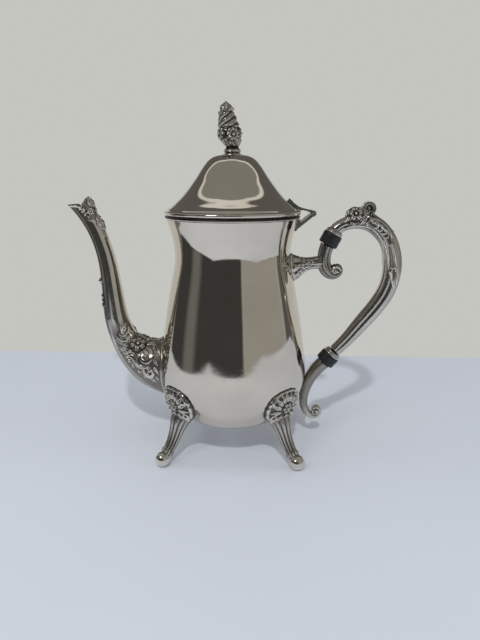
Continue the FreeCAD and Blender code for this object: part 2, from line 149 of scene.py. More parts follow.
# ============================================================ materials
class Mat:
    def __init__(self, name):
        self.m = bpy.data.materials.new(name)
        self.m.use_nodes = True
        self.t = self.m.node_tree
        self.t.nodes.clear()
        self.out = self.add("ShaderNodeOutputMaterial")
        self.bsdf = self.add("ShaderNodeBsdfPrincipled")
        self.t.links.new(self.bsdf.outputs[0], self.out.inputs[0])
        self.coord = self.add("ShaderNodeTexCoord").outputs["Object"]

    def add(self, kind, **props):
        n = self.t.nodes.new(kind)
        for k, v in props.items():
            setattr(n, k, v)
        return n

    def put(self, n, **values):
        for k, v in values.items():
            s = n.inputs[k.replace("_", " ")]
            if isinstance(v, bpy.types.NodeSocket):
                self.t.links.new(v, s)
            else:
                s.default_value = v
        return n

    def noise(self, scale, detail=3.0, rough=0.5, stretch=None, distort=0.0):
        vec = self.coord
        if stretch:
            mp = self.add("ShaderNodeMapping")
            self.t.links.new(vec, mp.inputs["Vector"])
            mp.inputs["Scale"].default_value = stretch
            vec = mp.outputs[0]
        n = self.add("ShaderNodeTexNoise")
        self.put(n, Vector=vec, Scale=scale, Detail=detail, Roughness=rough, Distortion=distort)
        return n.outputs["Fac"]

    def ramp(self, fac, stops):
        n = self.add("ShaderNodeValToRGB")
        self.t.links.new(fac, n.inputs[0])
        e = n.color_ramp.elements
        while len(e) < len(stops):
            e.new(0.5)
        for el, (pos, col) in zip(e, stops):
            el.position = pos
            el.color = (*col, 1) if len(col) == 3 else col
        return n.outputs[0]

    def span(self, fac, a, b, lo=0.0, hi=1.0):
        n = self.add("ShaderNodeMapRange")
        self.put(n, Value=fac)
        for i, v in zip((1, 2, 3, 4), (a, b, lo, hi)):
            n.inputs[i].default_value = v
        return n.outputs[0]

    def math(self, op, a, b):
        n = self.add("ShaderNodeMath", operation=op)
        for s, v in zip(n.inputs, (a, b)):
            if isinstance(v, bpy.types.NodeSocket):
                self.t.links.new(v, s)
            else:
                s.default_value = v
        return n.outputs[0]

    def mix(self, fac, a, b):
        n = self.add("ShaderNodeMix", data_type="RGBA")
        for i, v in ((0, fac), (6, a), (7, b)):
            if isinstance(v, bpy.types.NodeSocket):
                self.t.links.new(v, n.inputs[i])
            else:
                n.inputs[i].default_value = (*v, 1) if isinstance(v, tuple) and len(v) == 3 else v
        return n.outputs[2]

    def bump(self, height, dist, strength=1.0, under=None):
        n = self.add("ShaderNodeBump")
        self.put(n, Height=height, Distance=dist, Strength=strength)
        if under is not None:
            self.t.links.new(under, n.inputs["Normal"])
        return n.outputs[0]


def silver_sheet(name, light, film, r0, r1, waviness):
    k = Mat(name)
    cloud = k.noise(26.0, 4.0, 0.6)
    speck = k.noise(420.0, 5.0, 0.7)
    lines = k.noise(30.0, 6.0, 0.75, stretch=(1.0, 1.0, 60.0))
    hair = k.noise(160.0, 2.0, 0.6, stretch=(1.0, 14.0, 3.0), distort=0.6)
    base = k.mix(k.span(cloud, 0.35, 0.75), light, film)
    spots = k.span(speck, 0.66, 0.80)
    base = k.mix(k.math("MULTIPLY", spots, 0.35), base, (0.42, 0.37, 0.31))
    rough = k.math("ADD", k.span(cloud, 0.3, 0.8, r0, r1), k.span(hair, 0.62, 0.74, 0.0, 0.07))
    n = k.bump(k.noise(17.0, 2.0, 0.4), 0.0012 * waviness, 1.0)
    n = k.bump(lines, 0.000012, 0.6, n)
    n = k.bump(speck, 0.000010, 0.6, n)
    k.put(k.bsdf, Base_Color=base, Roughness=rough, Metallic=1.0, Normal=n)
    return k.m


def silver_cast(name, bright, worn, dark):
    k = Mat(name)
    at = k.add("ShaderNodeAttribute", attribute_name="relief")
    rel = at.outputs["Fac"]
    grime = k.noise(260.0, 3.0, 0.55)
    cloud = k.noise(60.0, 3.0, 0.5)
    level = k.math("ADD", rel, k.span(grime, 0.3, 0.7, -0.02, 0.02))
    tone = k.ramp(level, [(0.04, dark), (0.30, tuple(0.55 * a + 0.45 * b for a, b in zip(dark, worn))), (0.62, worn), (0.92, bright)])
    base = k.mix(k.span(cloud, 0.4, 0.75, 0.0, 0.45), tone, worn)
    base = k.mix(k.span(level, 0.1, 0.5, 0.0, 1.0), tone, base)
    satin = k.add("ShaderNodeAttribute", attribute_name="satin").outputs["Fac"]
    low = k.span(satin, 0.0, 1.0, 0.07, 0.27)
    rough = k.math("ADD", k.math("ADD", low, k.span(level, 0.05, 0.85, 0.20, 0.0)), k.span(grime, 0.5, 0.8, 0.0, 0.06))
    n = k.bump(k.noise(900.0, 3.0, 0.6), 0.000008, 0.5)
    n = k.bump(k.noise(90.0, 2.0, 0.5), 0.00008, 0.5, n)
    k.put(k.bsdf, Base_Color=base, Roughness=rough, Metallic=1.0, Normal=n)
    return k.m


def bush(name):
    k = Mat(name)
    fine = k.noise(700.0, 5.0, 0.7)
    broad = k.noise(120.0, 3.0, 0.5)
    base = k.ramp(fine, [(0.25, (0.006, 0.006, 0.007)), (0.6, (0.014, 0.014, 0.016)), (0.8, (0.045, 0.044, 0.044))])
    rough = k.math("ADD", k.span(broad, 0.3, 0.7, 0.34, 0.52), k.span(fine, 0.5, 0.9, 0.0, 0.12))
    n = k.bump(fine, 0.00008, 0.8)
    n = k.bump(broad, 0.0003, 0.6, n)
    k.put(k.bsdf, Base_Color=base, Roughness=rough, Normal=n)
    return k.m


def plain_metal(name, a, b, r0, r1):
    k = Mat(name)
    c = k.noise(240.0, 4.0, 0.6)
    turn = k.noise(60.0, 4.0, 0.6, stretch=(1.0, 1.0, 40.0))
    k.put(k.bsdf, Base_Color=k.mix(k.span(c, 0.3, 0.7), a, b), Roughness=k.span(turn, 0.3, 0.7, r0, r1),
          Metallic=1.0, Normal=k.bump(turn, 0.00003, 0.6))
    return k.m


SILVER = silver_sheet("silver_sheet", (0.755, 0.70, 0.61), (0.685, 0.625, 0.53), 0.025, 0.06, 0.14)
SILVER_IN = silver_sheet("silver_inside", (0.60, 0.57, 0.52), (0.42, 0.38, 0.33), 0.16, 0.30, 1.4)
CAST = silver_cast("silver_cast", (0.80, 0.76, 0.69), (0.43, 0.405, 0.36), (0.045, 0.040, 0.034))
HINGE = silver_sheet("hinge_silver", (0.68, 0.65, 0.59), (0.52, 0.49, 0.43), 0.20, 0.32, 0.6)
BUSH = bush("black_bush")
STEEL = plain_metal("pin_steel", (0.62, 0.61, 0.59), (0.48, 0.46, 0.44), 0.22, 0.36)
BRASS = plain_metal("fixing_brass", (0.72, 0.56, 0.30), (0.55, 0.42, 0.22), 0.24, 0.40)

# ============================================================ turned sheet: body, lid, wire
bowl = [(26 + 33.3 * math.cos(math.radians(a)), 62 - 39.5 * math.sin(math.radians(a))) for a in (90, 76, 62, 48, 34, 22, 11, 0)]
BODY = bowl + [(58.75, 70.0), (57.4, 80.0), (55.85, 91.0), (54.0, 103.0), (51.85, 115.0), (49.65, 126.5), (47.4, 137.5),
               (45.6, 146.5), (44.75, 152.5), (44.65, 156.5), (45.0, 162.0), (46.0, 168.0), (47.5, 174.2), (49.0, 179.2), (50.1, 182.8)]
body_out = spline(BODY, 260)
dense_out = spline(BODY, 2000)


def side_normals(c):
    t = unit(np.gradient(c, axis=0))
    return np.stack([t[:, 1], -t[:, 0]], 1)


body_in = body_out - side_normals(body_out) * 1.0


def body_radius(z):
    """Outer radius of the body at height z."""
    return np.interp(z, dense_out[:, 1], dense_out[:, 0])


def turned(B, loop, seg, wrap=True, relief=None, a0=0.0):
    loop = np.asarray(loop, float)
    a = np.arange(seg) * 2 * PI / seg + a0
    P = np.stack([loop[:, None, 0] * np.cos(a), loop[:, None, 0] * np.sin(a), np.repeat(loop[:, None, 1], seg, 1)], -1)
    R = None if relief is None else np.repeat(np.asarray(relief)[:, None], seg, 1)
    B.grid(P, wrap_u=wrap, wrap_v=True, relief=R)


rim = [(50.16, 182.95), (50.1, 183.05), (49.85, 183.08), (49.5, 183.05), (49.28, 182.95)]
B = Build()
turned(B, np.concatenate([body_out, rim, body_in[::-1], [[22.0, 23.5], [21.9, 23.45], [21.9, 22.55], [22.0, 22.5]]]), 224)
pot = B.done("pot_body", "pot", SILVER, ["body_shell"])

# inside wall gets the duller finish
pot.data.materials.append(SILVER_IN)
inside = np.zeros(len(pot.data.polygons), np.int32)
for p in pot.data.polygons:
    c = p.center
    r = math.hypot(c[0], c[1]) / MM
    if r < float(body_radius(c[2] / MM)) - 0.6 and c[2] / MM < 182.7 and c[2] / MM > 23.2:
        inside[p.index] = 1
pot.data.polygons.foreach_set("material_index", inside)

B = Build()
w = np.arange(28) * 2 * PI / 28
# painted shade: the ring's outer side, in the crease under the lid's bead, is painted dark for the shadow of the gap
# there; the crown keeps the bright tone
turned(B, np.stack([49.85 + 1.25 * np.cos(w), 184.35 + 1.25 * np.sin(w)], 1), 224, relief=np.where((np.cos(w) > 0.55) & (np.sin(w) > -0.35), 0.06, 0.9))
B.done("mouth_ring", "pot", CAST, ["mouth_wire"])

LID = [(50.55, 188.95), (49.9, 189.05), (49.35, 189.45), (48.9, 190.0), (47.0, 191.35), (43.4, 194.3), (39.5, 197.75), (35.5, 202.0),
       (31.4, 207.0), (27.6, 211.9), (23.8, 217.4), (20.3, 222.0), (17.0, 225.3), (13.3, 227.4), (9.7, 228.25), (7.6, 228.4)]
lid_out = spline(LID, 170)
lt = unit(np.gradient(lid_out, axis=0))
lid_in = lid_out + np.stack([-lt[:, 1], lt[:, 0]], 1)
lid_in = lid_in[lid_in[:, 0] < 48.5]
ba = np.radians(np.linspace(152, 432, 34))
bead = np.stack([50.4 + 1.5 * np.cos(ba), 187.45 + 1.5 * np.sin(ba)], 1)
B = Build()
turned(B, np.concatenate([lid_in[::-1], bead, lid_out, [[2.25, 228.4], [2.15, 228.3], [2.15, 227.5], [2.25, 227.4]]]), 224)
lid = B.done("lid_dome", "lid", SILVER, ["lid_shell"])
lid.data.materials.append(SILVER_IN)
inside = np.zeros(len(lid.data.polygons), np.int32)
n_in, n_bead = len(lid_in), len(bead)
inside[: (n_in - 1) * 224] = 1
lid.data.polygons.foreach_set("material_index", inside)


# ============================================================ ornament, drawn in millimetres
def line_field(X, Z, pts, w):
    best = np.full(X.shape, -9.0)
    for i in range(len(pts) - 1):
        a, d = pts[i], pts[i + 1] - pts[i]
        t = np.clip(((X - a[0]) * d[0] + (Z - a[1]) * d[1]) / (d @ d + 1e-12), 0, 1)
        ww = w[i] + t * (w[i + 1] - w[i])
        best = np.maximum(best, 1 - ((X - a[0] - t * d[0]) ** 2 + (Z - a[1] - t * d[1]) ** 2) / ww ** 2)
    return best


def cord(X, Z, pts, w, H, n=36, crease=0.0, smooth=True):
    """Raised cord along a line; w is one half width or one for each point."""
    pts = np.asarray(pts, float)
    w = np.broadcast_to(np.asarray(w, float), (len(pts),))
    rows = np.column_stack([pts, w])
    if smooth and len(pts) > 2:
        rows = spline(rows, n)
    rows[:, 2] = np.maximum(rows[:, 2], 0.15)
    lo, hi = rows[:, :2].min(0) - rows[:, 2].max(), rows[:, :2].max(0) + rows[:, 2].max()
    m = (X > lo[0]) & (X < hi[0]) & (Z > lo[1]) & (Z < hi[1])
    out = np.zeros(X.shape)
    if m.any():
        q = line_field(X[m], Z[m], rows[:, :2], rows[:, 2])
        out[m] = H * np.sqrt(np.clip(q, 0, 1)) - crease * H * step(q, 0.8, 1.0)
    return out


def curl(c, r0, r1, a0, turns, n=26):
    """Spiral from radius r0 at angle a0 (degrees) to radius r1."""
    t = np.linspace(0, 1, n)
    r, a = r0 + (r1 - r0) * t, math.radians(a0) + turns * 2 * PI * t
    return np.stack([c[0] + r * np.cos(a), c[1] + r * np.sin(a)], 1)


def scroll(X, Z, stem, c, r0, r1, a0, turns, w, H, tail=0.35):
    """Stem that runs into a curl with a round eye."""
    sp = curl(c, r0, r1, a0, turns)
    pts = np.concatenate([np.asarray(stem, float).reshape(-1, 2), sp])
    n = len(pts)
    ww = w * np.concatenate([np.linspace(tail, 1.0, max(len(pts) - len(sp), 1)), np.linspace(1.0, 0.55, len(sp))])
    h = cord(X, Z, pts, ww, H, smooth=False, crease=0.18)
    eye = 1 - ((X - sp[-1][0]) ** 2 + (Z - sp[-1][1]) ** 2) / (0.85 * w) ** 2
    return np.maximum(h, 1.1 * H * np.sqrt(np.clip(eye, 0, 1)))


def rosette(X, Z, c, R, n, H, rot=0.0, rows=1):
    dx, dz = X - c[0], Z - c[1]
    r, a = np.hypot(dx, dz), np.arctan2(dz, dx) + rot
    h = np.zeros(X.shape)
    for k in range(rows):
        mid, half = (0.62, 0.38) if k == 0 else (0.40, 0.22)
        q = np.mod(a * n / (2 * PI) + 0.5 * k, 1) - 0.5
        pr = (r / R - mid) / half
        pt = q * 2 * PI * np.maximum(r, 0.2 * R) / n / (0.46 * 2 * PI * mid * R / n)
        s = 1 - pr ** 2 - pt ** 2
        dome = H * (1 + 0.25 * k) * np.sqrt(np.clip(s, 0, 1)) * (0.72 + 0.28 * np.abs(pt)) - 0.22 * H * np.exp(-(pt / 0.16) ** 2) * (s > 0)
        h = np.maximum(h, dome)
    core = 1 - (r / (0.24 * R)) ** 2
    return np.maximum(h, 1.15 * H * np.sqrt(np.clip(core, 0, 1)))


def leaf(X, Z, p0, p1, W, H, lobes=4, bend=0.0):
    """Lobed leaf from its foot p0 to its tip p1."""
    p0, p1 = np.asarray(p0, float), np.asarray(p1, float)
    d = p1 - p0
    L = np.hypot(*d)
    d = d / L
    t = ((X - p0[0]) * d[0] + (Z - p0[1]) * d[1]) / L
    s = (X - p0[0]) * -d[1] + (Z - p0[1]) * d[0] - bend * L * 4 * t * (1 - t)
    tt = np.clip(t, 0, 1)
    w = W * np.sin(PI * tt ** 0.75) ** 0.8 * (1 - 0.30 * np.abs(np.sin(lobes * PI * tt)) * (tt > 0.06)) + 0.05
    q = np.abs(s) / w
    on = (t > 0) & (t < 1) & (q < 1)
    vein = 0.5 + 0.5 * np.cos(2 * PI * (lobes * tt - 0.55 * q))
    h = H * np.sqrt(np.clip(1 - q ** 2, 0, 1)) * (0.62 + 0.38 * vein) - 0.30 * H * np.exp(-(s / (0.14 * W)) ** 2)
    return np.where(on, np.maximum(h, 0.05 * H), 0.0)


def inside_poly(X, Z, poly):
    poly = np.asarray(poly, float)
    c = np.zeros(X.shape, bool)
    j = len(poly) - 1
    for i in range(len(poly)):
        (xi, zi), (xj, zj) = poly[i], poly[j]
        hit = ((zi > Z) != (zj > Z)) & (X < (xj - xi) * (Z - zi) / (zj - zi + 1e-12) + xi)
        c ^= hit
        j = i
    return c


def panel(X, Z, poly, soft=1.0):
    """1 inside the outline, falling to 0 over soft millimetres at its edge."""
    poly = np.asarray(poly, float)
    ring = np.concatenate([poly, poly[:1]])
    q = line_field(X, Z, ring, np.ones(len(ring)))
    d = np.sqrt(np.maximum(1 - q, 0))
    return np.where(inside_poly(X, Z, poly), step(d, 0, soft), 0.0)


def soften(h, n=2, wrap_v=False):
    for _ in range(n):
        u = np.pad(h, ((1, 1), (0, 0)), mode="edge")
        h = (u[:-2] + 2 * h + u[2:]) / 4
        if wrap_v:
            h = (np.roll(h, 1, 1) + 2 * h + np.roll(h, -1, 1)) / 4
        else:
            u = np.pad(h, ((0, 0), (1, 1)), mode="edge")
            h = (u[:, :-2] + 2 * h + u[:, 2:]) / 4
    return h


def crevice(h, wrap_v, gain=1.6, n=8):
    """Brightness of relief: high points stay 1, hollows fall towards 0."""
    return np.clip(0.80 + gain * (h - soften(h, n, wrap_v)), 0, 1)


def displaced(P, h, C, wrap_v):
    """Moves a tube's points out along their normals; C holds the middle of each ring."""
    n = normals(P, False, wrap_v)
    if (n * (P - C[:, None])).sum(-1).mean() < 0:
        n = -n
    return P + n * h[..., None]


def limb(rows, nu, nv, first=None, last=None, squareness=1.0):
    S = spline(rows, nu)
    C = S[:, :2]
    T = unit(np.gradient(C, axis=0))
    for k, d in ((0, first), (nu - 1, last)):
        if d is not None:
            T[k] = np.array(d) / np.hypot(*d)
    N = np.stack([-T[:, 1], T[:, 0]], 1)
    phi = np.arange(nv) * 2 * PI / nv
    cs, sn = np.cos(phi), np.sin(phi)
    cs, sn = np.sign(cs) * np.abs(cs) ** squareness, np.sign(sn) * np.abs(sn) ** squareness
    P = np.stack([C[:, None, 0] + N[:, None, 0] * S[:, None, 2] * cs, S[:, None, 3] * sn + 0 * C[:, None, 0],
                  C[:, None, 1] + N[:, None, 1] * S[:, None, 2] * cs], -1)
    return P, np.stack([C[:, 0], 0 * C[:, 0], C[:, 1]], 1), T, phi


def arc_length(P):
    return np.concatenate([np.zeros((1, P.shape[1])), np.cumsum(np.linalg.norm(np.diff(P, axis=0), axis=-1), 0)])


def axis_turned(B, prof, c, d, seg=96, relief=None):
    """Ring or drum about an axis in the XZ plane: prof holds (radius, distance along the axis), closed."""
    d = np.array(d, float) / np.hypot(*d)
    prof = np.asarray(prof, float)
    a = np.arange(seg) * 2 * PI / seg
    n = np.array([-d[1], d[0]])
    rad, t = prof[:, None, 0], prof[:, None, 1]
    P = np.stack([c[0] + d[0] * t + n[0] * rad * np.cos(a), rad * np.sin(a), c[1] + d[1] * t + n[1] * rad * np.cos(a)], -1)
    B.grid(P, wrap_u=True, wrap_v=True, relief=None if relief is None else np.repeat(np.asarray(relief)[:, None], seg, 1))


def blob(B, c, r, nu=20, nv=32, relief=1.0):
    """Rounded knob: r is one radius or three."""
    r = np.broadcast_to(np.asarray(r, float), (3,))
    t = np.linspace(0.03, PI - 0.03, nu)[:, None]
    a = (np.arange(nv) * 2 * PI / nv)[None]
    P = np.stack([c[0] + r[0] * np.sin(t) * np.cos(a), c[1] + r[1] * np.sin(t) * np.sin(a), c[2] + r[2] * np.cos(t) + 0 * a], -1)
    B.grid(P, wrap_v=True, cap0=True, cap1=True, relief=np.full((nu, nv), relief))


def rosette_boss(B, c, normal, R, n, H, rot=0.0, dome=0.35, rows=2, up=(0, 0, 1)):
    """Cast flower standing on a point, facing along normal."""
    nrm = np.array(normal, float) / np.linalg.norm(normal)
    e1 = np.cross(up, nrm)
    e1 = e1 / np.linalg.norm(e1)
    e2 = np.cross(nrm, e1)
    nr, na = 34, 108
    r = np.linspace(0.02, 1.0, nr)[:, None] * R
    a = (np.arange(na) * 2 * PI / na)[None]
    scal = 1 - 0.10 * (1 - np.abs(np.cos((a + rot) * n / 2)))
    X, Z = r * np.cos(a) * scal, r * np.sin(a) * scal
    h = rosette(X, Z, (0, 0), R, n, H, rot, rows)
    z = h + dome * R * (1 - (r / R) ** 2) + 0 * a
    z[-3:] -= np.array([0.25, 0.7, 1.6])[:, None] * H
    P = np.array(c)[None, None] + e1 * X[..., None] + e2 * Z[..., None] + nrm * z[..., None]
    B.grid(P, wrap_v=True, cap0=True, relief=np.clip(0.12 + 0.88 * step(h, 0.25 * H, 0.85 * H), 0, 1), satin=0.4)


def volute(B, c, r, half, start, turns, hand=1, H=0.8):
    """Rolled scroll end about an axis along Y, with a spiral on both faces."""
    nr, na = 36, 112
    a = (np.arange(na) * 2 * PI / na)[None]
    parts, rel = [], []
    for side in (-1, 1):
        q = np.linspace(0.02, 1.0, nr)[:, None]
        ph = q * turns + hand * (a - math.radians(start)) / (2 * PI)
        ridge = 0.5 + 0.5 * np.cos(2 * PI * ph)
        eye = np.exp(-(q / 0.20) ** 2)
        h = H * np.maximum(ridge ** 0.7, 1.2 * eye)
        y = side * (half - H + h - 0.35 * half * q ** 10)
        P = np.stack([c[0] + q * r * np.cos(a), y, c[1] + q * r * np.sin(a)], -1)
        R = 0.15 + 0.85 * step(h / H, 0.15, 0.8)
        parts.append(P if side < 0 else P[::-1])
        rel.append(R if side < 0 else R[::-1])
    edge = np.linspace(-0.62, 0.62, 9)[1:-1, None]
    E = np.stack([c[0] + r * (1 + 0.05 * np.cos(edge * PI / 1.3)) * np.cos(a), edge * half + 0 * a, c[1] + r * (1 + 0.05 * np.cos(edge * PI / 1.3)) * np.sin(a)], -1)
    B.grid(np.concatenate([parts[0], E, parts[1]]), wrap_v=True, cap0=True, cap1=True,
           relief=np.concatenate([rel[0], np.full((7, na), 0.95), rel[1]]))


def surface(P, C, wrap_v, side):
    """The half of a cast surface on one side of the middle plane, with its normals."""
    n = normals(P, False, wrap_v)
    if (n * (P - C[:, None])).sum(-1).mean() < 0:
        n = -n
    m = P[..., 1] * side > 0.02
    return P[m], n[m]


def laid(S, pts):
    """Points of a surface, and its normals there, over the places pts: x and z, or the surface's own flat drawing."""
    V, N = S[:2]
    K = S[2] if len(S) > 2 else V[:, ::2]
    pos, nrm = [], []
    for x, z in pts:
        d = (K[:, 0] - x) ** 2 + (K[:, 1] - z) ** 2
        k = np.argpartition(d, 6)[:6]
        w = 1 / (d[k] + 0.02)
        w = w[:, None] / w.sum()
        pos.append((V[k] * w).sum(0))
        nrm.append((N[k] * w).sum(0))
    return np.array(pos), unit(np.array(nrm))


def tendril(B, S, pts, w, H=0.8, crease=0.0, lobes=0, n=44, eye=False, tone=1.0, satin=0.5):
    """Cast cord or leaf lying on a surface; w is its half width, one value or one for each point."""
    pts = np.asarray(pts, float)
    rows = spline(np.column_stack([pts, np.broadcast_to(np.asarray(w, float), (len(pts),))]), n)
    pos, nrm = laid(S, rows[:, :2])
    for _ in range(3):
        pos[1:-1] = (pos[:-2] + 2 * pos[1:-1] + pos[2:]) / 4
        nrm[1:-1] = unit(nrm[:-2] + 2 * nrm[1:-1] + nrm[2:])
    bi = unit(np.cross(unit(np.gradient(pos, axis=0)), nrm))
    t = np.linspace(0, 1, n)
    ww = np.maximum(rows[:, 2], 0.14) * (1 - 0.30 * np.abs(np.sin(lobes * PI * t)) * (lobes > 0))
    a = np.arange(24) * 2 * PI / 24
    ca, sa = np.cos(a), np.sin(a)
    dip = crease * np.exp(-(ca / 0.26) ** 2) * (sa > 0)
    up = np.where(sa > 0, H * np.abs(sa) ** 0.8 - H * dip, 0.5 * sa)
    Q = pos[:, None] + bi[:, None] * (ww[:, None] * ca)[..., None] + nrm[:, None] * (ww[:, None] * up)[..., None]
    B.grid(Q, wrap_v=True, cap0=True, cap1=True, relief=tone * (np.where(sa > -0.1, 0.22 + 0.78 * sa, 0.08) - 0.9 * dip)[None] + 0 * Q[..., 0], satin=satin)
    if eye:
        blob(B, pos[-1] + 0.3 * nrm[-1], 1.15 * ww[-1], 12, 20)


def sprig(B, S, p0, p1, W, bend=0.0, lobes=2, H=0.75):
    """Small leaf from its foot p0 to its tip p1, with a groove down the middle."""
    p0, p1 = np.asarray(p0, float), np.asarray(p1, float)
    t = np.linspace(0, 1, 9)
    d = p1 - p0
    pts = p0 + d * t[:, None] + bend * np.array([-d[1], d[0]]) * (4 * t * (1 - t))[:, None]
    tendril(B, S, pts, W * np.sin(PI * t ** 0.75) ** 0.8 + 0.1, H, 0.40, lobes, 40)


def on_body(Q, f, gap):
    """Moves points Q along f until they lie on the body's surface; gap is not used."""
    lo, hi = np.full(Q.shape[:-1], -40.0), np.full(Q.shape[:-1], 60.0)
    for _ in range(44):
        m = (lo + hi) / 2
        P = Q + f * m[..., None]
        out = np.hypot(P[..., 0], P[..., 1]) > body_radius(np.clip(P[..., 2], 22.5, 182.8))
        hi = np.where(out, m, hi)
        lo = np.where(out, lo, m)
    P = Q + f * hi[..., None]
    z = np.clip(P[..., 2], 22.6, 182.5)
    k = (body_radius(z + 0.1) - body_radius(z - 0.1)) / 0.2
    ang = np.arctan2(P[..., 1], P[..., 0])
    nrm = unit(np.stack([np.cos(ang), np.sin(ang), -k], -1))
    return P, nrm


# ============================================================ spout: two cast halves
SPOUT = [(-47.0, 62.0, -1.0, 0.0, 25.5, 22.5), (-55.0, 62.3, -1.0, 0.06, 24.2, 21.6),
         (-67.4, 65.4, -0.93, 0.37, 20.8, 18.2), (-78.0, 72.1, -0.75, 0.66, 16.5, 14.4),
         (-86.0, 80.0, -0.55, 0.835, 12.5, 11.6), (-91.6, 91.0, -0.35, 0.937, 10.5, 9.9),
         (-94.6, 101.5, -0.19, 0.98, 9.7, 8.9), (-96.0, 112.0, -0.1, 0.995, 9.1, 8.2),
         (-97.0, 125.0, -0.07, 0.998, 8.4, 7.6), (-98.2, 140.0, -0.12, 0.993, 7.6, 7.0),
         (-100.3, 154.5, -0.22, 0.975, 7.1, 6.6), (-104.3, 168.5, -0.33, 0.944, 6.8, 6.3),
         (-109.2, 180.0, -0.41, 0.912, 7.05, 6.3), (-115.2, 191.0, -0.48, 0.877, 8.2, 6.6),
         (-121.2, 200.5, -0.52, 0.854, 9.9, 7.0)]
MOUTH = np.array([(-140.0, 191.6), (-127.2, 192.3), (-122.0, 192.9), (-118.5, 192.6), (-115.6, 191.7), (-113.8, 193.4),
                  (-112.2, 196.2), (-110.5, 198.4), (-104.0, 203.0)])
BASE_PANEL = [(-99.4, 104.0), (-97.4, 91.2), (-93.4, 78.0), (-87.2, 67.4), (-79.6, 59.0), (-70.8, 52.0), (-55.0, 43.4), (-54.0, 60.0),
              (-54.0, 74.0), (-54.0, 91.4), (-68.4, 91.4), (-76.6, 95.6), (-82.0, 101.0), (-85.8, 107.0), (-89.5, 107.5)]
TIP_PANEL = [(-116.0, 188.6), (-111.0, 182.2), (-104.6, 178.6), (-98.4, 172.0), (-101.0, 186.0), (-106.0, 196.0), (-110.0, 199.5), (-113.6, 195.0)]


def spout_point(u, phi, shrink, side):
    R = spline(SPOUT, 0, at=np.ravel(u)).reshape(*np.shape(u), 6)
    d = unit(R[..., 2:4])
    a, b = R[..., 4] - shrink, R[..., 5] - shrink
    return np.stack([R[..., 0] - d[..., 1] * a * np.cos(phi), side * b * np.sin(phi), R[..., 1] + d[..., 0] * a * np.cos(phi)], -1)


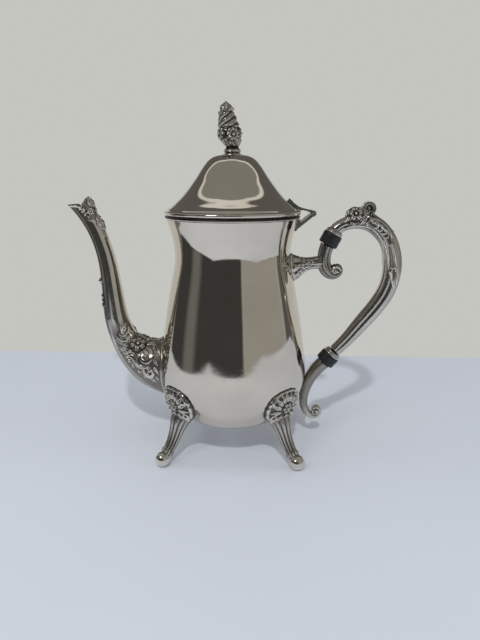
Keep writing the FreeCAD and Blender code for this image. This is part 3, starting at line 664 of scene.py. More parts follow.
def spout_half(name, node, side):
    nu, nv = 430, 118
    phi = np.linspace(0, PI, nv)
    fine = np.linspace(0, 1, 900)[:, None] + 0 * phi
    P = spout_point(fine, phi, 0.0, side)
    out = np.hypot(P[..., 0], P[..., 1]) - body_radius(P[..., 2]) - 0.06
    over = P[..., 2] - np.interp(P[..., 0], MOUTH[:, 0], MOUTH[:, 1])
    u0, u1 = np.zeros(nv), np.zeros(nv)
    for k in range(nv):
        i = np.nonzero((out[:, k] < 0) & (fine[:, k] < 0.3))[0].max()
        u0[k] = fine[i, k] + (fine[1, 0] - fine[0, 0]) * (-out[i, k]) / (out[i + 1, k] - out[i, k])
        j = np.nonzero((over[:, k] > 0) & (fine[:, k] > 0.6))[0].min()
        u1[k] = fine[j - 1, k] + (fine[1, 0] - fine[0, 0]) * (-over[j - 1, k]) / (over[j, k] - over[j - 1, k])
    u1[1:-1] = (u1[:-2] + 2 * u1[1:-1] + u1[2:]) / 4
    s = np.linspace(0, 1, nu)[:, None]
    u = u0 + (u1 - u0) * s
    P = spout_point(u, phi, 0.0, side)
    C = spout_point(u, phi + 0 * u, 0.0, side).mean(1) * 0
    R = spline(SPOUT, 0, at=u.mean(1))
    C[:, 0], C[:, 2] = R[:, 0], R[:, 1]
    X, Z = P[..., 0], P[..., 2]
    wide = np.where(np.cos(phi) > 0, step(np.sin(phi), 0.30, 0.48), step(np.sin(phi), 0.16, 0.40))[None]
    # flower panel on the side of the base
    bm = panel(X, Z, BASE_PANEL, 1.1)
    edge = np.concatenate([BASE_PANEL, BASE_PANEL[:1]])
    rail = cord(X, Z, edge[:7], 0.8, 0.6) + cord(X, Z, edge[9:13], 0.7, 0.55)
    bm = bm * (1 - step(Z - 0.3 * (X + 90), 90, 106))
    h = wide * (-0.35 * bm + (1 - bm) * rail * 0.25)
    rel = 1 - 0.74 * wide * bm
    # flowers at the pouring end
    tm = panel(X, Z, TIP_PANEL, 0.9)
    h = h - 0.25 * wide * tm
    satin = 0.10 + 0.9 * wide * np.maximum(bm, tm) + 0.5 * step(np.abs(np.cos(phi)), 0.5, 0.8)[None] * (1 - step(Z, 108, 130))
    rel = rel - 0.55 * wide * tm
    # plain band along the keel of the base, dulled, with an engraved edge
    band = (step(np.cos(phi), 0.50, 0.70)[None]) * (1 - step(Z, 108, 122))
    rel = rel - 0.50 * band * (1 - wide * bm)
    line = np.exp(-((np.cos(phi)[None] - 0.90) / 0.050) ** 2) * (1 - step(Z, 112, 122))
    h = h - 0.40 * line
    rel = rel - 0.9 * line
    # painted shade: the spout is darkened on its side towards the pot and along the top of its base, below about 112 to
    # 140 mm
    body_side_shade = step(-np.cos(phi), 0.45, 0.8)[None] * (1 - step(Z, 112, 140))
    rel = rel - 0.15 * body_side_shade * (1 - wide * bm)
    rel = rel - 0.38 * step(np.cos(phi), -0.1, 0.25)[None] * step(Z, 84, 94) * (1 - step(Z, 108, 128)) * (1 - wide * bm)
    # small leaf and knobs on the outer keel
    keel = step(np.cos(phi), 0.55, 0.9)[None]
    for (kx, kz, r, H) in ((-105.4, 134.2, 1.5, 2.1), (-104.9, 122.0, 1.2, 0.9), (-104.7, 118.2, 1.0, 0.8), (-104.0, 114.4, 1.5, 1.2)):
        bump = H * np.exp(-((X - kx) ** 2 * 0.4 + (Z - kz) ** 2) / r ** 2)
        h = h + keel * bump
        rel = rel - keel * 0.75 * np.exp(-((np.hypot((X - kx) * 0.6, Z - kz) - 1.25 * r) / 0.7) ** 2)
    # seam and rolled edge of the mouth
    L = arc_length(P)
    top = L[-1][None] - L
    h = h + 0.32 * np.exp(-((top - 0.7) / 0.6) ** 2)
    # flange against the body; its lobe pattern is added times zero, so the flange is plain
    lobes = 0.5 + 0.5 * np.cos(phi * 22)[None]
    h = h + 0.55 * np.sqrt(np.clip(1 - ((L - 0.8) / 1.0) ** 2, 0, 1)) + 0 * lobes
    rel = np.maximum(rel, 0.75 * np.exp(-((L - 0.9) / 1.1) ** 2))
    h = soften(h, 1)
    Q = displaced(P, h, C, False)
    Q[:, 0, 1] = Q[:, -1, 1] = side * 0.02
    B = Build()
    b0 = B.grid(Q, relief=np.clip(rel * (0.35 + 0.65 * crevice(h, False, 0.9, 6)) + 0.12, 0, 1), satin=satin)
    S = surface(Q, C, False, side)
    # the flower and its scrolls
    pos, nrm = laid(S, [(-76.6, 83.1), (-108.0, 187.8)])
    rosette_boss(B, pos[0] + 0.4 * nrm[0], nrm[0] + np.array([0, 0, 0.28]), 7.2, 6, 2.1, 0.3, 0.14, 1)
    rosette_boss(B, pos[1] - 0.4 * nrm[1], nrm[1], 3.7, 6, 1.0, 0.2, 0.16)
    for pts, w, eye in (([(-92.8, 93.4), (-91.6, 90.0), (-88.6, 87.5), (-85.2, 87.9), (-82.6, 90.0), (-82.3, 92.3), (-84.2, 93.5), (-85.7, 92.2)], [0.5, 1.1, 1.4, 1.4, 1.2, 1.0, 0.8, 0.7], True),
                        ([(-91.6, 94.8), (-89.6, 91.6), (-87.0, 90.4), (-85.2, 90.4)], [0.4, 0.9, 0.8, 0.5], False),
                        ([(-93.0, 88.6), (-90.4, 85.6), (-87.2, 84.9), (-84.2, 86.0)], [0.4, 1.0, 1.0, 0.5], False),
                        ([(-70.6, 80.4), (-66.8, 79.5), (-64.5, 76.4), (-65.3, 72.9), (-68.6, 71.0), (-71.9, 71.9), (-73.0, 74.4), (-71.3, 76.3), (-69.3, 75.3)], [0.5, 1.2, 1.5, 1.6, 1.5, 1.3, 1.1, 0.9, 0.8], True),
                        ([(-86.0, 72.6), (-83.0, 74.8), (-79.5, 74.1), (-77.4, 71.0), (-75.4, 67.9), (-71.8, 66.6), (-68.0, 67.9), (-65.8, 70.2)], [0.5, 1.2, 1.5, 1.5, 1.5, 1.4, 1.1, 0.5], False),
                        ([(-92.0, 82.8), (-89.4, 80.2), (-86.8, 79.9), (-84.6, 78.9), (-84.5, 76.9), (-86.1, 76.2), (-87.2, 77.3)], [0.4, 0.9, 1.1, 1.1, 1.0, 0.9, 0.7], True),
                        ([(-72.6, 65.0), (-69.5, 62.0), (-66.3, 60.0), (-63.6, 60.5), (-62.6, 62.8), (-64.2, 64.6), (-66.1, 63.8)], [0.6, 1.3, 1.6, 1.5, 1.2, 1.0, 0.8], True),
                        ([(-79.6, 89.6), (-76.6, 91.2), (-73.2, 90.7), (-71.2, 88.6)], [0.4, 1.0, 1.0, 0.5], False),
                        ([(-78.6, 76.4), (-76.0, 75.0), (-73.8, 77.0)], [0.5, 1.0, 0.5], False),
                        ([(-104.2, 179.0), (-106.6, 181.4), (-108.6, 181.9), (-109.6, 183.2), (-108.6, 184.0)], [0.4, 0.8, 0.8, 0.7, 0.5], False),
                        ([(-104.0, 195.0), (-103.4, 191.6), (-104.0, 189.2), (-105.2, 190.6)], [0.4, 0.8, 0.8, 0.5], False)):
        tendril(B, S, pts, 1.5 * np.array(w), 0.85, 0.18, eye=eye, satin=0.3)
    for p0, p1, W, bend in (((-88.4, 91.6), (-86.4, 100.4), 2.0, 0.06), ((-80.6, 88.4), (-84.4, 97.2), 1.7, 0.08),
                            ((-71.2, 87.2), (-61.4, 89.6), 1.7, 0.1), ((-70.4, 84.4), (-62.2, 86.0), 1.7, 0.1), ((-69.4, 82.0), (-61.8, 82.2), 1.6, 0.1),
                            ((-84.0, 82.2), (-90.6, 85.0), 1.5, 0.1), ((-83.0, 84.6), (-81.2, 89.0), 1.2, 0.1), ((-82.4, 79.8), (-82.4, 75.8), 1.3, 0.1),
                            ((-80.2, 73.6), (-85.0, 69.4), 1.7, 0.12), ((-76.8, 70.0), (-80.4, 64.6), 1.8, -0.12), ((-73.4, 66.8), (-76.0, 60.8), 1.7, 0.12), ((-88.4, 78.2), (-91.4, 79.6), 1.0, 0.0),
                            ((-63.0, 79.6), (-59.0, 75.0), 1.4, 0.1), ((-63.2, 73.4), (-58.8, 68.8), 1.4, 0.1), ((-63.0, 67.4), (-58.4, 62.6), 1.4, 0.1), ((-68.2, 65.2), (-64.6, 66.8), 1.2, 0.1),
                            ((-70.8, 60.6), (-70.4, 57.2), 1.2, 0.1), ((-65.4, 58.6), (-60.4, 54.6), 1.5, 0.1), ((-61.6, 59.8), (-57.8, 57.0), 1.2, 0.1),
                            ((-74.2, 88.6), (-76.0, 93.0), 1.2, 0.1), ((-66.4, 91.2), (-60.2, 92.0), 1.1, 0.05), ((-79.0, 78.2), (-80.6, 75.0), 1.1, 0.0), ((-71.6, 78.6), (-74.2, 76.6), 1.0, 0.0),
                            ((-99.4, 173.6), (-104.2, 185.4), 2.1, 0.05), ((-107.2, 191.0), (-110.0, 198.4), 2.0, 0.05), ((-111.2, 188.0), (-115.0, 190.4), 1.6, 0.05),
                            ((-60.6, 81.0), (-57.2, 77.2), 1.2, 0.0),
                            ((-60.4, 87.6), (-57.0, 85.0), 1.2, 0.0), ((-66.6, 84.6), (-63.2, 80.0), 1.3, 0.1), ((-90.8, 87.4), (-94.4, 86.2), 1.1, 0.0), ((-86.6, 95.0), (-90.2, 98.0), 1.2, 0.0),
                            ((-110.6, 185.4), (-113.0, 186.6), 1.2, 0.0), ((-105.0, 190.8), (-106.6, 195.6), 1.4, 0.0), ((-102.2, 180.6), (-101.6, 186.6), 1.2, 0.0)):
        sprig(B, S, p0, p1, 1.55 * W, bend)
    ni = 90
    si = np.linspace(0, 1, ni)[:, None]
    I = spout_point(u0 + (u1 - u0) * si, phi, 1.1, side)
    b1 = B.grid(I, relief=np.full((ni, nv), 0.25))
    for k in range(nv - 1):
        B.face(b0 + k, b0 + k + 1, b1 + k + 1, b1 + k)
        t0, t1 = b0 + (nu - 1) * nv, b1 + (ni - 1) * nv
        B.face(t0 + k, t0 + k + 1, t1 + k + 1, t1 + k)
    return B.done(name, "pot", CAST, [node])


spout_half("spout_near", "spout_near_half", -1)
spout_half("spout_far", "spout_far_half", 1)

# ============================================================ finial
B = Build()
z0 = 228.45
neck = spline([(7.1, z0), (7.0, z0 + 0.35), (6.0, z0 + 0.9), (5.35, z0 + 1.35), (5.5, z0 + 1.7), (6.3, z0 + 2.1), (6.55, z0 + 2.75), (6.2, z0 + 3.5),
               (5.3, z0 + 4.2), (4.75, z0 + 5.0), (4.7, z0 + 6.2)], 60)
turned(B, np.concatenate([[[2.05, z0]], neck, [[2.05, z0 + 6.2]]]), 120,
       relief=np.concatenate([[0.5], np.clip(0.25 + 0.95 * np.exp(-((neck[:, 1] - z0 - 2.75) / 1.0) ** 2) + 0.8 * (neck[:, 1] < z0 + 0.6) - 0.25 * (neck[:, 1] > z0 + 4.4), 0, 1), [0.3]]))
BUD = [(0.0, z0 + 5.6, 4.4), (-0.4, z0 + 8.2, 5.9), (-1.3, z0 + 11.4, 7.8), (-2.0, z0 + 14.6, 8.5), (-2.5, z0 + 18.2, 8.0),
       (-3.1, z0 + 22.5, 6.8), (-3.8, z0 + 27.5, 5.6), (-4.3, z0 + 31.5, 4.4), (-4.45, z0 + 34.3, 2.9), (-4.4, z0 + 36.0, 1.0)]
nu, nv = 250, 216
S = spline([(r[1], r[0], r[2]) for r in BUD], nu)
phi = np.arange(nv) * 2 * PI / nv - PI / 2
zz, cx, rr = S[:, 0][:, None], S[:, 1][:, None], np.maximum(S[:, 2], 0.3)[:, None]
P = np.stack([cx + rr * np.cos(phi), rr * np.sin(phi), zz + 0 * phi], -1)
C = np.stack([S[:, 1], 0 * S[:, 1], S[:, 0]], 1)
h = np.zeros((nu, nv))
zrel = zz - z0
# calyx leaves below
cal = np.abs(np.cos(phi * 4))[None] ** 0.7
h = h + (1.2 * cal - 0.6) * step(zrel, 5.6, 7.5) * (1 - step(zrel, 10.4, 11.8))
# spiral leaves above the flowers
tw = np.abs(np.sin(2.5 * phi[None] - 0.72 * (zrel - 19)))
h = h + (1.7 * tw ** 0.75 - 1.05) * step(zrel, 17.5, 20.0) * (1 - step(zrel, 29.0, 30.4))
# top crown of small leaves
cr = np.abs(np.cos(1.5 * phi[None] + 0.6))
h = h + (1.5 * cr ** 0.6 - 0.95) * step(zrel, 29.4, 30.8) * (1 - step(zrel, 33.6, 35.0))
h = h - 1.0 * np.exp(-((zrel - 29.8) / 0.7) ** 2) - 0.8 * np.exp(-((zrel - 18.6) / 0.9) ** 2)
ground = -0.7 * step(zrel, 10.5, 12) * (1 - step(zrel, 18, 19.5))
h = h + ground
h = soften(h, 1, True)
Q = displaced(P, h, C, True)
B.grid(Q, wrap_v=True, cap0=True, cap1=True, relief=np.clip(0.06 + 0.90 * step(h - soften(h, 12, True), -0.50, 0.40), 0, 1), satin=0.4)
for ang, zc, R, n, rot in ((-68, 13.9, 5.7, 9, 0.1), (-146, 14.6, 5.0, 8, 0.4), (138, 14.2, 5.3, 9, 0.2), (68, 14.4, 5.1, 9, 0.5), (2, 15.0, 4.7, 8, 0.0)):
    k, d = int(np.argmin(np.abs(zrel[:, 0] - zc))), np.array([math.cos(math.radians(ang)), math.sin(math.radians(ang)), 0.0])
    rosette_boss(B, np.array([cx[k, 0], 0, z0 + zc]) + (rr[k, 0] - 1.75) * d, d, R, n, 1.2, rot, 0.34, 1)
for kx, ky, kz, r in ((-4.6, -0.4, 263.5, 1.5), (-7.4, -2.0, 260.6, 1.5), (-1.6, 1.6, 261.4, 1.4), (-8.8, -0.6, 257.2, 1.4), (0.2, -1.8, 259.4, 1.5), (-4.2, -4.2, 260.6, 1.4), (-4.0, 4.5, 259.8, 1.4),
                      (-7.6, 2.6, 259.2, 1.1), (-0.6, 3.0, 258.8, 1.1)):
    blob(B, (kx, ky, kz), r)
B.done("finial_flower", "lid", CAST, ["finial"])

# ============================================================ handle
UP, UPD, UPR, UPL = (74.85, 167.3), (0.46, 0.888), 7.4, 9.4
LO, LOD, LOR, LOL = (77.4, 70.9), (0.64, 0.768), 7.8, 8.3


def bush_piece(name, node, c, d, r, l):
    h = l / 2
    prof = [(2.9, -h)] + [(r - 0.9, -h)] + [(r - 0.9 + 0.9 * math.sin(a), -h + 0.9 - 0.9 * math.cos(a)) for a in np.linspace(0.3, PI / 2, 6)]
    prof += [(r + 0.02, -h * 0.4), (r - 0.06, -h * 0.1), (r + 0.03, h * 0.2), (r, h - 0.9)]
    prof += [(r - 0.9 + 0.9 * math.cos(a), h - 0.9 + 0.9 * math.sin(a)) for a in np.linspace(0.3, PI / 2, 6)] + [(2.9, h)]
    prof += [(2.9, h + 4.9), (0.5, h + 4.9), (0.5, -h - 4.9), (2.9, -h - 4.9)]
    B = Build()
    axis_turned(B, prof, c, d, 128)
    return B.done(name, "pot", BUSH, [node])


bush_piece("bush_upper", "upper_insulator", UP, UPD, UPR, UPL)
bush_piece("bush_lower", "lower_insulator", LO, LOD, LOR, LOL)


def ferrule(B, c, d, start, r, t, sign=1):
    """Turned ring against a bush."""
    p = [(3.1, 0.06), (r - 0.3, 0.06), (r, 0.4), (r + 0.05, 0.9), (r - 0.25, 1.35), (r - 0.75, 1.5), (r - 0.5, 1.8), (r - 0.6, t), (r - 1.6, t + 0.6), (3.1, t + 0.6)]
    prof = [(a, sign * (start + b)) for a, b in p]
    axis_turned(B, prof, c, d, 112, relief=[0.4, 0.8, 1, 1, 0.9, 0.1, 0.6, 0.8, 0.3, 0.2])


GRIP = [(78.4, 174.4, 4.9, 5.0), (81.6, 176.9, 4.8, 5.0), (87.2, 179.5, 5.0, 5.2), (96.3, 181.0, 5.8, 5.6),
        (105.0, 179.2, 6.5, 6.0), (112.4, 174.0, 6.7, 6.2), (117.9, 167.0, 6.7, 6.3), (121.6, 157.5, 6.8, 6.3),
        (123.1, 147.9, 6.9, 6.3), (122.7, 138.0, 6.8, 6.3), (119.7, 127.0, 6.7, 6.2), (114.3, 117.0, 6.5, 6.1),
        (107.4, 107.4, 6.3, 6.0), (99.3, 96.9, 5.8, 5.7), (91.1, 86.4, 5.1, 5.3), (83.2, 77.85, 4.8, 5.0)]
B = Build()
P, C, T, phi = limb(GRIP, 520, 128, first=UPD, last=(-LOD[0], -LOD[1]), squareness=0.9)
X, Z = P[..., 0], P[..., 2]
s = np.linspace(0, 1, len(P))[:, None]
# flutes: cosines of the angle round the section, with narrow valleys
fl = np.abs(np.cos(3 * phi + 0.35))[None] ** 0.65
body_f = step(s, 0.30, 0.40)
h = (0.95 * fl - 0.65) * (0.35 + 0.65 * body_f) * (1 - 0.5 * step(s, 0.94, 1.0))
side = step(np.abs(np.sin(phi)), 0.25, 0.6)[None]
top_leaf = panel(X, Z, [(86.0, 176.6), (92.0, 178.6), (101.0, 178.2), (108.0, 174.6), (114.0, 168.6), (117.6, 162.6), (122.4, 164.6), (119.4, 172.6),
                        (112.0, 179.4), (104.0, 184.6), (95.0, 187.6), (86.0, 184.6)], 1.2)
o = np.zeros(X.shape)
for q in (cord(X, Z, [(98.6, 190.0), (101.0, 186.0), (104.9, 181.2), (110.0, 178.6), (116.0, 174.2), (120.2, 170.0)], [0.8, 1.2, 1.2, 1.0, 0.9, 0.5], 1.2),
          cord(X, Z, [(84.0, 176.0), (90.0, 177.6), (97.0, 177.8), (104.0, 175.8), (110.0, 171.0), (114.6, 164.4), (117.4, 156.0)], [0.6, 0.8, 0.9, 0.9, 0.9, 0.8, 0.4], 0.9),
          cord(X, Z, [(119.6, 165.6), (122.8, 159.0), (125.0, 151.0), (125.2, 145.0)], [0.5, 0.9, 0.9, 0.4], 0.8)):
    o = np.maximum(o, q)
h = h * (1 - side * top_leaf) + side * np.maximum(top_leaf * (o - 0.45), 0.8 * (o - 0.45) * (o > 0.45))
h = soften(h, 1, True)
Q = displaced(P, h, C, True)
rel = 0.30 + 0.70 * step(h - soften(h, 14, True), -0.36, 0.26)
rel = rel * (1 - 0.55 * side * top_leaf * (1 - step(o, 0.3, 0.9)))
B.grid(Q, wrap_v=True, cap0=True, cap1=True, relief=rel, satin=0.2)
GRIPS = [surface(Q, C, True, k) for k in (-1, 1)]
ferrule(B, UP, UPD, UPL / 2, 6.9, 2.6)
ferrule(B, LO, LOD, LOL / 2, 7.2, 3.0)
# ribbon scroll on top of the grip
sp = curl((101.8, 190.6), 4.3, 2.0, -62, 1.05, 36)
path = np.concatenate([[(120.6, 172.4), (116.6, 177.2), (111.0, 181.6), (106.8, 184.6)], sp[1:]])
rows = [(p[0], p[1], 1.25 + 0.35 * math.sin(i / len(path) * PI), 4.2 - 1.2 * max(0, i / len(path) - 0.45)) for i, p in enumerate(path)]
rows[0] = (rows[0][0], rows[0][1], 0.7, 2.4)
P, C, T, phi = limb(rows, 260, 56, squareness=0.7)
h = 0.28 * np.cos(3 * phi)[None] + 0 * P[..., 0]
Q = displaced(P, h, C, True)
B.grid(Q, wrap_v=True, cap0=True, cap1=True, relief=np.clip(0.9 - 0.5 * (np.abs(np.sin(phi)) > 0.75)[None] + 0 * h, 0, 1))
P, C, T, phi = limb([(97.6, 192.2, 0.9, 3.2), (97.4, 189.6, 1.3, 3.8), (98.6, 187.0, 1.6, 4.4), (101.0, 184.4, 1.6, 4.6), (104.4, 181.4, 1.2, 4.4)], 90, 48, squareness=0.7)
B.grid(P, wrap_v=True, cap0=True, cap1=True, relief=np.full(P.shape[:2], 0.85))
blob(B, (120.6, 0, 173.2), (1.5, 3.4, 1.5))
blob(B, (101.8, 0, 190.6), (3.1, 2.9, 3.1), relief=0.12)
blob(B, (101.8, 0, 190.6), (1.5, 4.0, 1.5), relief=0.8)
# leaves down the side of the grip
for S in GRIPS:
    for pts, w, eye in (([(104.2, 180.0), (106.6, 180.7), (108.6, 179.0), (107.9, 176.7), (106.0, 176.6)], [0.6, 1.0, 1.1, 1.0, 0.8], True),
                        ([(108.0, 178.8), (110.3, 178.7), (111.8, 176.8), (110.9, 174.6), (109.1, 174.8)], [0.6, 1.0, 1.1, 1.0, 0.8], True),
                        ([(111.2, 176.4), (113.3, 175.9), (114.4, 174.0), (113.3, 172.0), (111.6, 172.5)], [0.6, 1.0, 1.1, 1.0, 0.8], True),
                        ([(113.8, 173.6), (115.7, 172.7), (116.4, 170.8), (115.1, 169.0), (113.5, 169.8)], [0.6, 0.9, 1.0, 0.9, 0.7], True),
                        ([(102.4, 182.4), (107.0, 182.6), (112.0, 180.0), (116.0, 176.0), (118.8, 171.4), (119.6, 167.0)], [0.6, 0.9, 0.9, 0.9, 0.8, 0.4], False),
                        ([(100.0, 178.4), (104.6, 175.8), (108.8, 172.2), (112.2, 167.6), (114.6, 161.8), (116.0, 154.0), (116.6, 146.0)], [0.5, 0.8, 0.9, 0.9, 0.8, 0.7, 0.3], False),
                        ([(123.6, 130.0), (122.6, 136.6), (121.0, 142.0), (121.6, 146.4), (123.8, 147.0), (124.2, 144.8)], [0.4, 1.2, 1.5, 1.4, 1.1, 0.9], True),
                        ([(125.4, 132.0), (125.6, 138.0), (124.6, 143.0)], [0.4, 0.9, 0.4], False),
                        ([(119.4, 166.0), (122.0, 159.6), (124.0, 151.6), (124.4, 147.4)], [0.5, 0.8, 0.8, 0.4], False)):
        tendril(B, S, pts, w, eye=eye, satin=0.3)
    for p0, p1, W, bend in (((100.4, 184.4), (95.0, 178.6), 1.9, 0.06), ((102.0, 182.0), (99.4, 176.8), 1.6, 0.06), ((90.6, 183.6), (83.4, 180.2), 1.9, -0.08), ((88.0, 180.6), (92.4, 177.4), 1.3, 0.08)):
        sprig(B, S, p0, p1, W, bend)
# flower cluster
for side in (-1, 1):
    rosette_boss(B, (92.2, side * 3.6, 186.2), (-0.12, side * 0.92, 0.36), 6.1, 5, 2.1, 0.2, rows=1)
    rosette_boss(B, (97.2, side * 3.8, 182.8), (0.2, side * 0.97, 0.1), 3.4, 5, 1.3, 0.5)
    blob(B, (88.0, side * 3.2, 183.6), (1.7, 1.5, 1.5), relief=0.9)
    blob(B, (87.2, side * 2.2, 187.4), (1.5, 1.5, 1.5), relief=0.9)
rosette_boss(B, (91.8, 0, 188.2), (-0.22, 0, 0.97), 4.2, 6, 1.3, 0.0, up=(0, 1, 0))
rosette_boss(B, (87.0, 0, 185.2), (-0.8, 0, 0.6), 3.0, 5, 1.1, 0.4, up=(0, 1, 0))
for kx, ky, kz, r in ((95.4, 2.2, 190.2, 1.3), (95.4, -2.2, 190.2, 1.3), (90.2, 3.0, 189.6, 1.3), (90.2, -3.0, 189.6, 1.3)):
    blob(B, (kx, ky, kz), r)
B.done("grip", "pot", CAST, ["handle_grip"])

# ---- upper bracket
B = Build()
rows = [(72.55, 162.4, 5.2, 5.2), (71.2, 158.0, 5.0, 5.0), (70.6, 153.0, 4.9, 4.9), (71.0, 148.0, 4.9, 4.8), (72.8, 143.8, 4.8, 4.7),
        (75.6, 140.8, 3.9, 4.4), (78.6, 139.8, 3.2, 4.3), (81.4, 140.6, 2.5, 4.2), (83.2, 142.8, 2.0, 4.0), (83.0, 145.4, 1.7, 3.7), (81.2, 147.0, 1.4, 3.4), (79.2, 146.6, 1.1, 3.0)]
P, C, T, phi = limb(rows, 300, 104, first=(-UPD[0], -UPD[1]), squareness=0.85)
s = np.linspace(0, 1, 300)[:, None]
h = (0.75 * np.abs(np.cos(4 * phi))[None] ** 0.7 - 0.45) * (1 - step(s, 0.55, 0.8)) + 0.25 * np.cos(2 * phi)[None] * step(s, 0.5, 0.8)
h = soften(h, 1, True)
Q = displaced(P, h, C, True)
B.grid(Q, wrap_v=True, cap0=True, cap1=True, relief=0.08 + 0.62 * step(h - soften(h, 14, True), -0.35, 0.30), satin=0.3)
volute(B, (79.7, 143.3), 4.9, 3.9, 40, 1.3, 1, 1.0)
rows = [(44.0, 145.7, 11.0, 8.6), (46.6, 145.9, 10.4, 8.0), (49.6, 146.4, 8.8, 7.0), (52.4, 147.1, 6.8, 5.8), (56.0, 147.9, 5.2, 4.9), (61.0, 148.8, 4.4, 4.3), (66.0, 149.4, 4.7, 4.3), (71.0, 149.8, 4.4, 4.2)]
P, C, T, phi = limb(rows, 130, 104)
for _ in range(1):
    X, Y, Z = P[..., 0], P[..., 1], P[..., 2]
    inb = np.hypot(X, Y) < body_radius(Z) + 0.06
    P[..., 0] = np.where(inb, np.sqrt(np.maximum((body_radius(Z) + 0.06) ** 2 - Y ** 2, 0)), X)
X, Y, Z = P[..., 0], P[..., 1], P[..., 2]
h = (0.9 * np.abs(np.cos(4 * phi))[None] ** 0.7 - 0.4) * step(X, 45.5, 48.5) * (1 - 0.6 * step(X, 60, 68))
o = np.zeros(X.shape)
for q in (leaf(X, Z, (63.0, 150.6), (48.0, 154.6), 3.0, 1.3, 4, 0.1), leaf(X, Z, (61.0, 148.2), (47.6, 147.2), 3.0, 1.4, 4), leaf(X, Z, (60.0, 146.2), (48.0, 138.6), 3.0, 1.3, 4, -0.1)):
    o = np.maximum(o, q)
h = np.where(o > 0.05, np.maximum(h, o - 0.2), h)
Q = displaced(P, h, C, True)
B.grid(Q, wrap_v=True, relief=0.06 + 0.95 * step(h - soften(h, 12, True), -0.34, 0.24), satin=0.35)
# pad on the body
nr, na = 46, 132
q = np.linspace(0.0, 1.0, nr)[:, None]
a = (np.arange(na) * 2 * PI / na)[None]
scal = 1 + 0.055 * np.abs(np.cos(6 * a)) - 0.03
Yp, Zp = 9.0 * q * np.cos(a) * scal, 11.0 * q * np.sin(a) * scal
base, nrm = on_body(np.stack([30 + 0 * Yp, Yp, 145.7 + Zp], -1), np.array([1.0, 0, 0]), 0)
petal = np.abs(np.cos(6 * a)) ** 0.6
h = (0.55 + 1.1 * petal * np.sin(PI * np.clip(q, 0, 1) ** 1.4)) * (1 - step(q, 0.93, 1.0)) + 0.6 * np.exp(-((q - 0.94) / 0.05) ** 2) + 0.06
B.grid(base + nrm * h[..., None], wrap_v=True, relief=np.clip(0.15 + step(h, 0.45, 1.15) + 0.6 * step(q, 0.9, 0.96), 0, 1))
B.done("bracket_upper", "pot", CAST, ["handle_upper_bracket"])

# ---- lower socket
B = Build()
rows = [(74.35, 67.25, 5.4, 5.4), (70.9, 63.9, 5.3, 5.2), (66.2, 57.6, 4.9, 4.9), (62.4, 50.2, 4.4, 4.5), (59.9, 42.0, 3.8, 4.0), (58.9, 34.2, 3.4, 3.6),
        (59.5, 27.8, 3.1, 3.5), (62.4, 22.0, 2.7, 3.4), (66.4, 19.0, 2.3, 3.3), (70.4, 19.4, 1.9, 3.2), (72.8, 22.4, 1.7, 3.0), (72.0, 26.0, 1.5, 2.8), (69.2, 27.2, 1.3, 2.5), (67.4, 25.2, 1.1, 2.2)]
P, C, T, phi = limb(rows, 380, 104, first=(-LOD[0], -LOD[1]), squareness=0.85)
X, Y, Z = P[..., 0], P[..., 1], P[..., 2]
inb = (np.hypot(X, Y) < body_radius(Z) + 0.06) & (Z > 22.6)
P[..., 0] = np.where(inb, np.sqrt(np.maximum((body_radius(Z) + 0.06) ** 2 - Y ** 2, 0)), X)
s = np.linspace(0, 1, 380)[:, None]
h = 0.16 * np.cos(4 * phi)[None] * (1 - step(s, 0.55, 0.72)) + 0.25 * np.cos(2 * phi)[None] * step(s, 0.55, 0.72)
o = np.zeros(X.shape)
h = soften(np.where(inb, 0, np.maximum(h, np.where(o > 0.05, o - 0.2, -9))), 1, True)
Q = displaced(P, h, C, True)
B.grid(Q, wrap_v=True, cap0=True, cap1=True, relief=0.42 + 0.45 * step(s, 0.5, 0.75) + 0.3 * np.clip(h, -0.3, 0.3))
volute(B, (69.4, 23.2), 3.2, 2.9, 200, 1.2, 1, 0.7)
B.done("socket_lower", "pot", CAST, ["handle_lower_socket"])

# ============================================================ feet
KNEE = np.array([(0.0, 13.8), (6.0, 13.3), (11.4, 11.0), (15.2, 7.0), (17.2, 2.0), (17.2, -3.2), (15.2, -8.2), (11.2, -12.4), (5.8, -15.2), (0.0, -16.0)])
KNEE_FACE = spline([(59.6, 64.5), (60.3, 60.5), (61.0, 55.5), (61.1, 50.0), (60.5, 44.8), (59.4, 40.0), (57.9, 36.2), (55.2, 33.4), (51.0, 31.6)], 400)[::-1]
LEG = [(51.4, 37.0, 8.4, 9.2), (54.8, 32.8, 7.2, 8.2), (57.2, 27.8, 6.0, 6.6), (59.8, 22.0, 5.0, 5.3), (63.0, 16.2, 4.3, 4.5), (67.0, 10.8, 3.9, 4.1), (70.4, 7.6, 3.8, 3.9)]
BALL = (72.4, 5.5, 5.9)
w = math.radians(-19.0)
f_dir, u_dir = np.array([math.cos(w), 0, math.sin(w)]), np.array([-math.sin(w), 0, math.cos(w)])


def knee_radius(z):
    return np.interp(z, KNEE_FACE[:, 1], KNEE_FACE[:, 0])


def out_to(Q, f, radius):
    """Moves points along f until they reach a turned surface."""
    lo, hi = np.zeros(Q.shape[:2]), np.full(Q.shape[:2], 45.0)
    for _ in range(40):
        m = (lo + hi) / 2
        P = Q + m[..., None] * f
        out = np.hypot(P[..., 0], P[..., 1]) > radius(P[..., 2])
        lo, hi = np.where(out, lo, m), np.where(out, m, hi)
    return Q + hi[..., None] * f


